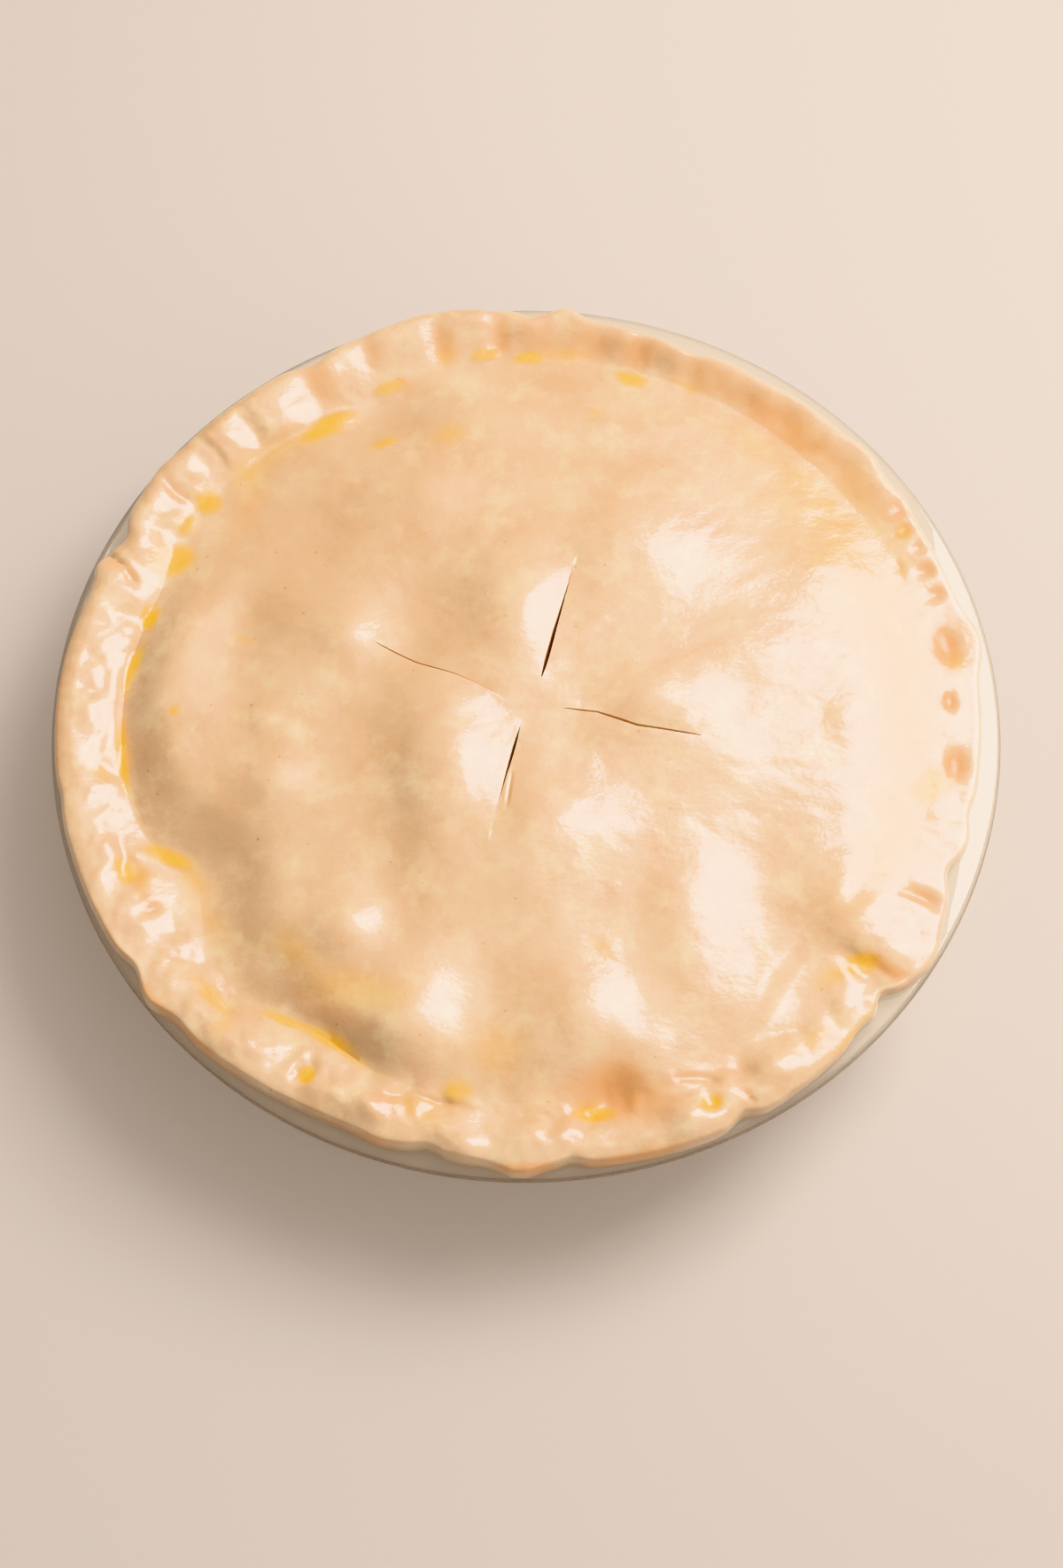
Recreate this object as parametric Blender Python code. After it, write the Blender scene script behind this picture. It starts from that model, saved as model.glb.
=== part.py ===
"""Beef pot pie in a clear glass pie dish, ready for the oven.

The pastry is one body of raw dough: a lid draped over the filling, a rim pinched by hand on
the dish's flange, and a lining down the dish's wall and over its base. Four thin vents in a
pinwheel open the lid down to the beef filling.

The origin is the middle of the dish's underside, +Z is up and the near side is -Y. Sizes
are in metres, angles in degrees, counted from +X towards +Y.
"""

import math
from typing import NamedTuple

import bmesh
import bpy

MM = 0.001
GAP = 0.3 * MM                       # clearance between pieces that lie on each other

# The glass dish, a turned shape
DISH_RADIUS = 122.5 * MM
DISH_HEIGHT = 38.0 * MM
GLASS_THICKNESS = 4.0 * MM
BASE_THICKNESS = 5.0 * MM
FLANGE_THICKNESS = 3.4 * MM
FLANGE_INNER_RADIUS = 111.5 * MM     # where the inside of the wall meets the flange
BASE_INNER_RADIUS = 92.0 * MM        # where the inside of the wall meets the base
FLANGE_EDGE_ROUND = 1.6 * MM
FLANGE_CORNER_ROUND = 4.0 * MM
BASE_CORNER_ROUND = 8.0 * MM
FOOT_ROUND = 5.0 * MM
WALL_LEAN = math.atan2(FLANGE_INNER_RADIUS - BASE_INNER_RADIUS, DISH_HEIGHT - BASE_THICKNESS)

# The dough
LINING_THICKNESS = 3.6 * MM
LID_THICKNESS = 3.6 * MM
APEX_HEIGHT = DISH_HEIGHT + 10.2 * MM    # the lid's plain dome over its middle
CREST_HEIGHT = DISH_HEIGHT + 7.0 * MM    # the top of the rim
EDGE_HEIGHT = DISH_HEIGHT + 4.6 * MM     # the rim's upper face near its outer edge
EDGE_ROUND = 1.3 * MM
EDGE_UNDER_ROUND = 1.2 * MM
ROOM_ROOF_RADIUS = 97.0 * MM             # the filling's room: where its roof ends, and how far
ROOM_CORNER_DROP = 4.0 * MM              # below the flange its wall starts

# The rim's outline: a plain circle, set off to the left, and the places where it bulges or
# falls short: (angle, half width in degrees, millimetres outwards)
OUTLINE_RADIUS = 119.7 * MM
OUTLINE_SHIFT = 1.8 * MM
LARGEST_OUTLINE = 122.3 * MM
OUTLINE_LOBES = (
    (-169, 2, -0.6), (-145, 2.2, -1.5), (-140.5, 2, 1.2), (-136, 2, -0.8), (-115, 13, -1.6),
    (-108, 2, 0.7), (-102, 2, -1.7), (-91, 2.6, 2.3), (-85, 1.6, -1.2), (-68, 17, 1.8),
    (-58, 26, 1.2), (-64, 1.8, -2.0), (-46, 3, -1.5), (-41.3, 1.6, -2.8), (-34, 4, 3.2),
    (-22.5, 2.8, -3.2), (-14, 2.2, -1.2), (-10, 8, -0.8), (9.8, 3.8, 3.0), (50, 40, -1.6),
    (31, 1.8, 1.0), (39, 3, 1.8), (56, 3, -0.9), (67, 3, -1.2), (70, 13, -2.0),
    (84.3, 1.8, 2.2), (89, 1.6, -1.6), (102, 8, 2.2), (130, 45, -1.3), (119, 2.6, -1.8),
    (144, 2.5, 0.7), (154.5, 2.3, -2.6), (159.4, 1.6, 1.4), (161, 9, -1.6),
)

# The valley is the low ring between the lid and the rim: its radius, and where the lid stops
# short of it or runs further out
VALLEY_RADIUS = 104.0 * MM
VALLEY_LOBES = (
    (-151, 9, -8.5), (-121, 8, -4.0), (-79, 6, 2.5), (-42, 9, -4.5), (2, 20, 3.0),
    (118, 10, -3.0), (158, 12, -2.0),
)

# The lid falls slowly from its apex, and then over a shoulder into the valley: how deep and
# how broad the shoulder is, and where it is deeper, flatter or steeper
DOME_FALL = 3.4 * MM
SHOULDER_FALL = 3.4 * MM
SHOULDER_FALL_LOBES = (
    (48, 34, -2.0), (-4, 22, -1.3), (178, 40, 1.2), (-148, 15, 1.2), (-122, 12, 1.2),
    (-92, 16, -2.0), (-60, 20, -1.0), (-72, 9, -0.9), (-38, 12, -1.2),
)
SHOULDER_WIDTH = 26.0 * MM
SHOULDER_WIDTH_LOBES = (
    (176, 22, -14.0), (-120, 12, -15.0), (112, 16, -2.0), (-96, 16, -12.0), (50, 26, -13.0),
    (-33, 14, -14.0),
)

# How far the rim's crest lies in from its outer edge, closest on the far right, where the
# dough is pressed up in a thin wall; and where the crest and the edge are higher or lower
CREST_INSET = 3.8 * MM
CREST_INSET_SWING = 1.6 * MM
THIN_CREST_ANGLE = 45.0
CREST_LOBES = ((62, 26, 1.4), (-16, 20, -3.2), (12, 16, -2.6), (-44, 12, -1.6), (-147, 8, -1.7))
EDGE_LOBES = ((-2, 24, -1.4), (-140, 70, 1.4))

# Where the valley is crisp, and not soft: (angle, half width in degrees, share). There the
# rim climbs at once for this share of its height, by this power, and evenly after that
CRISP_LOBES = ((178, 17, 1.0), (-121, 9, 1.0), (160, 9, 0.4), (55, 20, 0.3), (130, 9, 0.7))
FOOT_SHARE = 0.5
FOOT_POWER = 5

# Marks of the fingers on the rim: (angle, radius, half width along the rim in degrees,
# half width across it in millimetres, millimetres up)
RIM_MARKS = (
    (-172, 107, 2.2, 3.5, -0.7), (-157, 109, 2.0, 4.0, -1.4), (-150.5, 108, 1.0, 3.5, -0.9),
    (-147, 106, 2.4, 3.0, -0.8), (-134, 109, 1.8, 4.0, -0.8), (-129, 111.5, 4.5, 7.0, 1.6),
    (-119.3, 111, 1.1, 4.0, -1.5), (-110, 112, 2.0, 5.0, 1.2), (-101, 108, 1.8, 6.0, -1.0),
    (-97.5, 117, 2.3, 4.0, 1.3), (-89, 114, 3.2, 5.0, 1.3), (-82, 108, 2.2, 2.8, -1.6),
    (-78, 103, 3.0, 6.5, -1.5), (-70, 115, 2.8, 5.0, 1.8), (-67, 114, 1.1, 2.2, -1.5),
    (-61, 110, 1.4, 3.0, -0.8), (-58, 113, 3.4, 5.0, 1.7), (-46, 111, 2.0, 4.0, 0.8),
    (-40, 109, 1.5, 6.0, -2.2), (-36, 103, 4.4, 13.0, 1.7), (-27.3, 112, 1.0, 6.0, -0.8),
    (-8, 110.5, 2.4, 2.8, -1.3), (1.2, 109, 1.4, 2.0, -1.1), (9.3, 110.5, 3.0, 3.4, -1.5),
    (17, 112, 1.0, 2.6, -0.9), (20.7, 112, 0.9, 2.6, -0.9), (24, 113, 0.8, 2.0, -0.8),
    (27.3, 112, 0.8, 3.5, -0.7), (30, 114, 1.2, 3.0, -0.9), (40, 110, 2.0, 4.5, -0.5),
    (50, 109, 2.2, 4.5, -0.9), (56, 107, 1.6, 3.0, -0.6), (65.5, 109, 1.4, 4.5, -0.8),
    (73.5, 110, 1.6, 4.5, -1.0), (80, 110, 2.2, 5.0, -1.0), (93.8, 112, 1.5, 6.0, -1.0),
    (102, 112, 1.6, 6.0, -1.0), (112, 113, 1.6, 6.0, -0.9), (120.8, 111, 2.2, 6.5, -1.1),
    (127.5, 111, 3.0, 7.0, 0.9), (135, 111, 2.6, 7.0, 1.0), (139.5, 114, 1.2, 4.5, -0.5),
    (145, 112, 1.1, 5.0, -1.0), (151, 109, 1.6, 4.5, -0.9), (165, 107, 1.4, 4.0, -0.7),
)

# Lumps of filling that lift the lid, and sags between them: (x, y, half width in x, half
# width in y, rise), all in millimetres
LID_LUMPS = (
    (27, 48, 20, 18, 3.4), (2, -34, 14, 22, 3.2), (16, -30, 13, 12, 1.0), (7, 3, 7, 7, 0.45),
    (-46, -60, 9, 8, 2.8), (-30, -86, 13, 17, 4.4), (12, -84, 14, 16, 3.3),
    (30, -94, 14, 13, 2.0), (53, -82, 10, 10, 1.6), (40, -64, 10, 24, 1.8), (-47, 21, 8, 9, 2.0),
    (-64, -21, 9, 8, 1.7), (-90, 6, 6, 24, 0.8), (33, 1, 15, 13, 2.4), (58, 16, 12, 10, 1.1),
    (86, -50, 13, 12, 1.6), (48, -16, 14, 12, 0.7), (78, 38, 18, 12, 0.9),
    (-27, 62, 13, 12, 1.6), (-6, 26, 12, 23, 3.2), (-22, -11, 13, 22, 4.8),
    (-73, 20, 9, 26, -2.0), (-26, 26, 14, 16, -2.0), (-33, -40, 9, 20, -0.8),
    (-36, 86, 13, 10, -2.4), (-70, -38, 15, 12, -1.4), (20, -104, 8, 5, -1.8),
    (59, -42, 9, 15, -0.9), (-58, 52, 15, 17, -2.0),
)


class Vent(NamedTuple):
    """A knife cut through the lid, in millimetres.

    Its path is a broken line, and it gapes widest at a share of the way along it. Seen
    along it, the lid is lifted on its left side, and the lip on its right ends lower than
    the other by a step.
    """

    path: tuple
    width: float
    widest: float
    lift: float
    step: float


VENTS = {
    "far": Vent(((4.0, 6.3), (7.6, 20.5), (13.7, 42.5)), 0.8, 0.27, 0.7, 1.0),
    "left": Vent(((-2.5, -0.8), (-16.7, 7.0), (-27.5, 11.3), (-39.2, 18.0)), 0.9, 0.62, 0.3, 1.2),
    "right": Vent(((44.7, -9.5), (28.3, -6.7), (18.3, -2.8), (9.2, -1.7)), 0.9, 0.72, 0.3, 0.7),
    "near": Vent(((-9.7, -39.2), (-5.0, -20.0), (-1.3, -6.2)), 0.6, 0.70, 0.7, 1.0),
}
LIP_RIDGE = 9.0                      # from a cut to the ridge of its lifted lip,
LIP_RIDGE_BACK = 10.0                # how far the ridge falls off behind,
LOW_LIP_REACH = 12.0                 # and from the cut to where the low lip starts to dip
LIP_FADE = 0.3                       # share of a cut's length over which its lips fade out
VENT_STEPS = 10                      # points along each side of a cut
VENT_BOTTOM = DISH_HEIGHT + 3.0 * MM
VENT_TOP = DISH_HEIGHT + 20.0 * MM

# How finely the round shapes are divided
FINE, MIDDLE, COARSE = 160, 80, 40
CORNER_STEPS = 2


def bell(distance, half_width):
    """One at the middle, falling off smoothly over the half width."""
    return math.exp(-(distance / half_width) ** 2)


def turn_between(angle, other):
    """Degrees from one angle to another, the short way round."""
    return (angle - other + 180.0) % 360.0 - 180.0


def ease(share):
    """From 0 to 1 with level ends."""
    share = min(max(share, 0.0), 1.0)
    return share * share * (3.0 - 2.0 * share)


def swell(angle, table):
    """Sum of the bells in a table at an angle."""
    return sum(size * bell(turn_between(angle, centre), wide) for centre, wide, size in table)


def lobes(angle, table):
    """The same sum for bulges that the table gives in millimetres."""
    return swell(angle, table) * MM


def outline_radius(angle):
    """Radius of the rim's outer edge."""
    plain = OUTLINE_RADIUS - OUTLINE_SHIFT * math.cos(math.radians(angle))
    return min(plain + lobes(angle, OUTLINE_LOBES), LARGEST_OUTLINE)


def valley_radius(angle):
    """Radius of the low ring between the lid and the rim."""
    return VALLEY_RADIUS + lobes(angle, VALLEY_LOBES)


def crest_radius(angle):
    """Radius of the rim's highest line."""
    swing = math.cos(math.radians(angle - THIN_CREST_ANGLE))
    return outline_radius(angle) - CREST_INSET + CREST_INSET_SWING * swing


def rim_marks(radius, angle):
    """Rise or fall of the rim where fingers pinched it."""
    total = 0.0
    for centre, middle, along, across, rise in RIM_MARKS:
        total += (rise * bell(turn_between(angle, centre), along)
                  * bell(radius / MM - middle, across))
    return total * MM


def lid_lumps(x, y):
    """Rise or fall of the lid over the filling."""
    total = 0.0
    for middle_x, middle_y, wide_x, wide_y, rise in LID_LUMPS:
        total += rise * bell(x / MM - middle_x, wide_x) * bell(y / MM - middle_y, wide_y)
    return total * MM


def beside(x, y, path):
    """Distance from a broken line, share of the way along it, and 1 on its left or -1."""
    lengths = [math.dist(start, end) for start, end in zip(path, path[1:])]
    nearest, passed = (math.inf, 0.0, 1.0), 0.0
    for (start_x, start_y), (end_x, end_y), length in zip(path, path[1:], lengths):
        run_x, run_y = (end_x - start_x) / length, (end_y - start_y) / length
        off_x, off_y = x - start_x, y - start_y
        along = min(max(off_x * run_x + off_y * run_y, 0.0), length)
        away = math.hypot(off_x - along * run_x, off_y - along * run_y)
        side = math.copysign(1.0, run_x * off_y - run_y * off_x)
        nearest = min(nearest, (away, (passed + along) / sum(lengths), side))
        passed += length
    return nearest


def vent_lips(x, y):
    """Rise and fall of the lid along the vents, fading out at the ends of each cut."""
    total = 0.0
    for vent in VENTS.values():
        distance, share, side = beside(x / MM, y / MM, vent.path)
        fade = ease(min(share, 1.0 - share) / LIP_FADE)
        if side > 0.0:
            climb = 1.0 - (1.0 - min(distance / LIP_RIDGE, 1.0)) ** 2
            behind = bell(max(distance - LIP_RIDGE, 0.0), LIP_RIDGE_BACK)
            total += fade * vent.lift * climb * behind
        else:
            total -= fade * vent.step * max(1.0 - distance / LOW_LIP_REACH, 0.0) ** 2
    return total * MM


def plain_height(radius, angle):
    """Height of the dough's upper face without marks and lumps.

    Inside the valley it is a parabola less a shoulder, and from the valley to the crest it
    climbs. A soft valley eases both. In a crisp one the shoulder falls as a quarter wave
    and the climb starts with a sudden foot. Outside the crest it falls as a parabola.
    """
    valley, crest = valley_radius(angle), crest_radius(angle)
    crisp = min(max(swell(angle, CRISP_LOBES), 0.0), 1.0)
    shoulder = SHOULDER_FALL + lobes(angle, SHOULDER_FALL_LOBES)
    if radius <= valley:
        width = SHOULDER_WIDTH + lobes(angle, SHOULDER_WIDTH_LOBES)
        inwards = min((valley - radius) / width, 1.0)
        soft = ease(inwards)
        climb = soft + crisp * (math.sin(inwards * math.pi / 2.0) - soft)
        return APEX_HEIGHT - DOME_FALL * (radius / valley) ** 2 - shoulder * (1.0 - climb)
    top = CREST_HEIGHT + lobes(angle, CREST_LOBES)
    if radius <= crest:
        low = APEX_HEIGHT - DOME_FALL - shoulder
        share = (radius - valley) / (crest - valley)
        foot = share + FOOT_SHARE * (1.0 - (1.0 - share) ** FOOT_POWER - share)
        soft = ease(share)
        return low + (top - low) * (soft + crisp * (foot - soft))
    edge = EDGE_HEIGHT + lobes(angle, EDGE_LOBES)
    fall = (radius - crest) / (outline_radius(angle) - crest)
    return top - (top - edge) * fall ** 2


def top_height(radius, angle):
    """Height of the dough's upper face."""
    x = radius * math.cos(math.radians(angle))
    y = radius * math.sin(math.radians(angle))
    return (plain_height(radius, angle) + rim_marks(radius, angle)
            + lid_lumps(x, y) + vent_lips(x, y))


def wall_radius(height, inset):
    """Radius of the dish's inner wall at a height, moved inwards by an inset."""
    return (BASE_INNER_RADIUS + (height - BASE_THICKNESS) * math.tan(WALL_LEAN)
            - inset / math.cos(WALL_LEAN))


def round_corner(before, corner, after, radius):
    """Points of the arc that rounds one corner of a profile."""
    def towards(point):
        run = (point[0] - corner[0], point[1] - corner[1])
        length = math.hypot(*run)
        return run[0] / length, run[1] / length

    arm_in, arm_out = towards(before), towards(after)
    opening = math.acos(arm_in[0] * arm_out[0] + arm_in[1] * arm_out[1])
    reach = radius / math.tan(opening / 2.0)
    middle_x = arm_in[0] + arm_out[0]
    middle_y = arm_in[1] + arm_out[1]
    depth = radius / math.sin(opening / 2.0) / math.hypot(middle_x, middle_y)
    centre = (corner[0] + middle_x * depth, corner[1] + middle_y * depth)
    first = (corner[0] + arm_in[0] * reach - centre[0], corner[1] + arm_in[1] * reach - centre[1])
    last = (corner[0] + arm_out[0] * reach - centre[0], corner[1] + arm_out[1] * reach - centre[1])
    turn = math.atan2(first[0] * last[1] - first[1] * last[0],
                      first[0] * last[0] + first[1] * last[1])
    arc = []
    for step in range(CORNER_STEPS + 1):
        angle = turn * step / CORNER_STEPS
        arc.append((centre[0] + first[0] * math.cos(angle) - first[1] * math.sin(angle),
                    centre[1] + first[0] * math.sin(angle) + first[1] * math.cos(angle)))
    return arc


def rounded_profile(corners):
    """A profile of (radius, height) from corners that carry their rounding."""
    points = []
    for index, (radius, height, rounding) in enumerate(corners):
        if rounding:
            before, after = corners[index - 1][:2], corners[index + 1][:2]
            points += round_corner(before, (radius, height), after, rounding)
        else:
            points.append((radius, height))
    return points


def lining_profile(inset):
    """The inside of the dish from the flange to its middle, moved inwards by an inset."""
    flange, base = DISH_HEIGHT + inset, BASE_THICKNESS + inset
    return rounded_profile((
        (DISH_RADIUS, flange, 0.0),
        (wall_radius(flange, inset), flange, FLANGE_CORNER_ROUND + inset),
        (wall_radius(base, inset), base, BASE_CORNER_ROUND - inset),
        (0.0, base, 0.0),
    ))[1:]


def material(name, colour, roughness, transmission=0.0):
    """A plain finish for one piece."""
    made = bpy.data.materials.new(name)
    made.use_nodes = True
    shader = made.node_tree.nodes["Principled BSDF"]
    shader.inputs["Base Color"].default_value = (*colour, 1.0)
    shader.inputs["Roughness"].default_value = roughness
    shader.inputs["Metallic"].default_value = 0.0
    shader.inputs["Transmission Weight"].default_value = transmission
    made.diffuse_color = (*colour, 1.0)
    return made


def finish_object(name, mesh_builder, finish=None):
    """Turn a bmesh into a named object with smooth faces and its finish."""
    bmesh.ops.recalc_face_normals(mesh_builder, faces=mesh_builder.faces)
    mesh = bpy.data.meshes.new(name)
    mesh_builder.to_mesh(mesh)
    mesh_builder.free()
    mesh.shade_smooth()
    mesh.set_sharp_from_angle(angle=math.radians(50.0))
    if finish:
        mesh.materials.append(finish)
    made = bpy.data.objects.new(name, mesh)
    bpy.context.scene.collection.objects.link(made)
    return made


def add_ring(shape, count, point_at):
    """One ring of points; point_at gives (radius, height) for an angle in degrees."""
    ring = []
    for step in range(count):
        angle = 360.0 * step / count
        radius, height = point_at(angle)
        turn = math.radians(angle)
        ring.append(shape.verts.new((radius * math.cos(turn), radius * math.sin(turn), height)))
    return ring


def join_rings(shape, first, second):
    """Faces between two rings, of which one may have twice the points of the other."""
    if len(first) < len(second):
        first, second = second, first
    many, few = len(first), len(second)
    for step in range(few):
        here, beyond = second[step], second[(step + 1) % few]
        if many == few:
            shape.faces.new((first[step], first[(step + 1) % many], beyond, here))
            continue
        start, middle, end = (first[(2 * step + offset) % many] for offset in range(3))
        shape.faces.new((start, middle, here))
        shape.faces.new((middle, beyond, here))
        shape.faces.new((middle, end, beyond))


def close_ring(shape, ring, height):
    """A fan from a ring to one point on the axis."""
    tip = shape.verts.new((0.0, 0.0, height))
    for step, corner in enumerate(ring):
        shape.faces.new((corner, ring[(step + 1) % len(ring)], tip))


def shell_of_rings(rings, first_height, last_height):
    """A closed skin through (count, point_at) rings, capped on the axis at both ends."""
    shape = bmesh.new()
    made = [add_ring(shape, count, point_at) for count, point_at in rings]
    for first, second in zip(made, made[1:]):
        join_rings(shape, first, second)
    close_ring(shape, made[0], first_height)
    close_ring(shape, made[-1], last_height)
    return shape


def lid_ring(radius, drop=0.0):
    """A ring on the lid, or on a face some way under it."""
    return lambda angle: (radius, top_height(radius, angle) - drop)


def flat_ring(radius, height):
    """A plain round ring."""
    return lambda angle: (radius, height)


def share_ring(inner, outer, share):
    """A ring part of the way from one radius to another, on the upper face."""
    def point_at(angle):
        radius = inner(angle) + (outer(angle) - inner(angle)) * share
        return radius, top_height(radius, angle)
    return point_at


def edge_start(angle):
    """Radius where the rim's upper face starts to turn down at the outer edge."""
    return outline_radius(angle) - EDGE_ROUND


def edge_ring(degrees):
    """A ring round the outer edge: 90 is on the upper face, 0 at the widest, -90 below."""
    turn = math.radians(degrees)
    below = DISH_HEIGHT + GAP

    def point_at(angle):
        widest = below + EDGE_UNDER_ROUND
        if degrees >= 0.0:
            rise = top_height(edge_start(angle), angle) - widest
            return edge_start(angle) + EDGE_ROUND * math.cos(turn), widest + rise * math.sin(turn)
        under_start = outline_radius(angle) - EDGE_UNDER_ROUND
        return (under_start + EDGE_UNDER_ROUND * math.cos(turn),
                widest + EDGE_UNDER_ROUND * math.sin(turn))
    return point_at


def build_dish(finish):
    """The clear dish: base, leaning wall and flat flange, turned in one piece."""
    flange_under = DISH_HEIGHT - FLANGE_THICKNESS
    profile = rounded_profile((
        (0.0, 0.0, 0.0),
        (wall_radius(0.0, -GLASS_THICKNESS), 0.0, FOOT_ROUND),
        (wall_radius(flange_under, -GLASS_THICKNESS), flange_under, FLANGE_CORNER_ROUND),
        (DISH_RADIUS, flange_under, FLANGE_EDGE_ROUND),
        (DISH_RADIUS, DISH_HEIGHT, FLANGE_EDGE_ROUND),
        (FLANGE_INNER_RADIUS, DISH_HEIGHT, FLANGE_CORNER_ROUND),
        (BASE_INNER_RADIUS, BASE_THICKNESS, BASE_CORNER_ROUND),
        (0.0, BASE_THICKNESS, 0.0),
    ))
    rings = [(MIDDLE, flat_ring(radius, height)) for radius, height in profile[1:-1]]
    return finish_object("glass_pie_dish", shell_of_rings(rings, 0.0, BASE_THICKNESS), finish)


def build_room(name, inset, drop, finish=None):
    """The space inside the dough, or what fills it: up to a drop below the lid's face."""
    rings = [(COARSE, lid_ring(radius * MM, drop)) for radius in (12, 24, 36)]
    rings += [(MIDDLE, lid_ring(radius * MM, drop)) for radius in (48, 60, 71, 81, 90)]
    rings.append((MIDDLE, lid_ring(ROOM_ROOF_RADIUS, drop)))
    wall_top, base = DISH_HEIGHT - ROOM_CORNER_DROP - inset, BASE_THICKNESS + inset
    profile = rounded_profile((
        (wall_radius(wall_top, inset), wall_top, 0.0),
        (wall_radius(base, inset), base, BASE_CORNER_ROUND - inset),
        (0.0, base, 0.0),
    ))
    rings += [(MIDDLE, flat_ring(radius, height)) for radius, height in profile[:-1]]
    rings.append((COARSE, flat_ring(BASE_INNER_RADIUS / 2.0, base)))
    return finish_object(name, shell_of_rings(rings, top_height(0.0, 0.0) - drop, base), finish)


def vent_blade(name, vent):
    """An upright blade along a vent, pointed at both ends.

    Its width is half a sine wave of the share of the way, raised to a power that puts the
    middle of the wave where the vent is widest.
    """
    path = vent.path
    lengths = [0.0]
    for start, end in zip(path, path[1:]):
        lengths.append(lengths[-1] + math.dist(start, end))

    def along(share):
        distance = share * lengths[-1]
        index = max(step for step in range(len(path) - 1) if lengths[step] <= distance)
        (start_x, start_y), (end_x, end_y) = path[index], path[index + 1]
        run = lengths[index + 1] - lengths[index]
        part = (distance - lengths[index]) / run
        middle = (start_x + (end_x - start_x) * part, start_y + (end_y - start_y) * part)
        return middle, ((start_y - end_y) / run, (end_x - start_x) / run)

    power = math.log(0.5) / math.log(vent.widest)
    left, right = [], []
    for step in range(1, VENT_STEPS):
        share = step / VENT_STEPS
        (x, y), (side_x, side_y) = along(share)
        half = vent.width / 2.0 * math.sin(share ** power * math.pi)
        left.append((x + side_x * half, y + side_y * half))
        right.append((x - side_x * half, y - side_y * half))
    outline = [path[0], *left, path[-1], *reversed(right)]
    shape = bmesh.new()
    rings = [[shape.verts.new((x * MM, y * MM, height)) for x, y in outline]
             for height in (VENT_BOTTOM, VENT_TOP)]
    join_rings(shape, *rings)
    for ring in rings:
        shape.faces.new(ring)
    return finish_object(name, shape)


def cut_with(target, cutter):
    """Take a cutter out of a piece and hide the cutter."""
    cut = target.modifiers.new(cutter.name, "BOOLEAN")
    cut.operation = "DIFFERENCE"
    cut.object = cutter
    cutter.hide_render = True
    cutter.display_type = "WIRE"


def build_crust(finish):
    """Lid, pinched rim and lining as one skin, with the filling's room and the vents cut."""
    rings = [(COARSE, lid_ring(radius * MM)) for radius in (9, 18, 27, 36)]
    rings += [(MIDDLE, lid_ring(radius * MM)) for radius in (45, 54, 63, 71, 78)]
    rings += [(FINE, lid_ring(radius * MM)) for radius in (84, 89)]
    rings.append((FINE, share_ring(lambda angle: 89 * MM, valley_radius, 0.5)))
    rings += [(FINE, share_ring(valley_radius, crest_radius, share))
              for share in (0.0, 0.12, 0.3, 0.65, 1.0)]
    rings.append((FINE, share_ring(crest_radius, edge_start, 0.6)))
    rings += [(FINE, edge_ring(degrees)) for degrees in (90, 45, 0, -50, -90)]
    outside = lining_profile(GAP)
    rings += [(MIDDLE, flat_ring(radius, height)) for radius, height in outside[:-1]]
    rings.append((COARSE, flat_ring(BASE_INNER_RADIUS / 2.0, outside[-1][1])))
    shape = shell_of_rings(rings, top_height(0.0, 0.0), outside[-1][1])
    crust = finish_object("pastry_crust", shape, finish)
    cut_with(crust, build_room("filling_room", GAP + LINING_THICKNESS, LID_THICKNESS))
    for name, vent in VENTS.items():
        cut_with(crust, vent_blade(f"{name}_vent", vent))
    return crust


def main():
    """Clear the scene and build the three pieces."""
    for old in list(bpy.data.objects):
        bpy.data.objects.remove(old, do_unlink=True)
    build_dish(material("clear_glass", (0.88, 0.93, 0.92), 0.03, transmission=1.0))
    build_crust(material("raw_pastry", (0.85, 0.56, 0.33), 0.35))
    build_room("beef_filling", 2.0 * GAP + LINING_THICKNESS, LID_THICKNESS + 2.5 * GAP,
               material("beef_gravy", (0.13, 0.025, 0.008), 0.3))


main()
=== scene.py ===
"""A beef pot pie, ready for the oven, in its clear glass pie dish.

Raw pastry is draped over a beef filling and pinched by hand on the flange of a turned glass
dish. Four knife cuts in a pinwheel open the lid, and the whole top is brushed with egg wash,
which shines and gathers in yellow pools between the lid and the rim.

The origin is the middle of the dish's underside, +Z is up and the near side is -Y. Sizes are
in millimetres and become metres where a mesh is made; angles are in degrees from +X to +Y.
"""

import logging
import math
from collections.abc import Iterable
from dataclasses import dataclass, field
from enum import Enum
from functools import cached_property

import bpy
import numpy as np
from mathutils import Matrix, Vector


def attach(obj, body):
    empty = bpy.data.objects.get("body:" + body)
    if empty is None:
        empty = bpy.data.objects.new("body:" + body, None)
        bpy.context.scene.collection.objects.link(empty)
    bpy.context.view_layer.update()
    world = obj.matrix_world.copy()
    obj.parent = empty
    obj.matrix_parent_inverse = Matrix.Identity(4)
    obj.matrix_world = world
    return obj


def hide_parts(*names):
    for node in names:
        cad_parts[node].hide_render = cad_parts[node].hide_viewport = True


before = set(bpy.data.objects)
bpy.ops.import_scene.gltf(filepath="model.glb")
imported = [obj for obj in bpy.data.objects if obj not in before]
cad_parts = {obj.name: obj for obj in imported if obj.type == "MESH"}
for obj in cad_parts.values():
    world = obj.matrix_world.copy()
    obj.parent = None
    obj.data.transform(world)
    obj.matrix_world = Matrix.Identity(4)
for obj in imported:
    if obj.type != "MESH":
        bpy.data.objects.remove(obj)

MM = 0.001
BODY = "root"
LOG = logging.getLogger("pot_pie")

Grid = np.ndarray
Table = tuple[tuple[float, ...], ...]
Colour = tuple[float, float, float, float]


class CadNode(Enum):
    """The solids that the dressed pieces stand for."""

    DISH = "glass_pie_dish"
    CRUST = "pastry_crust"
    FILLING = "beef_filling"


class Slot(Enum):
    """The record's material slots."""

    GLASS = "glass"
    DOUGH = "dough"
    FILLING = "filling"


# ---------------------------------------------------------------- shapes


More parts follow.
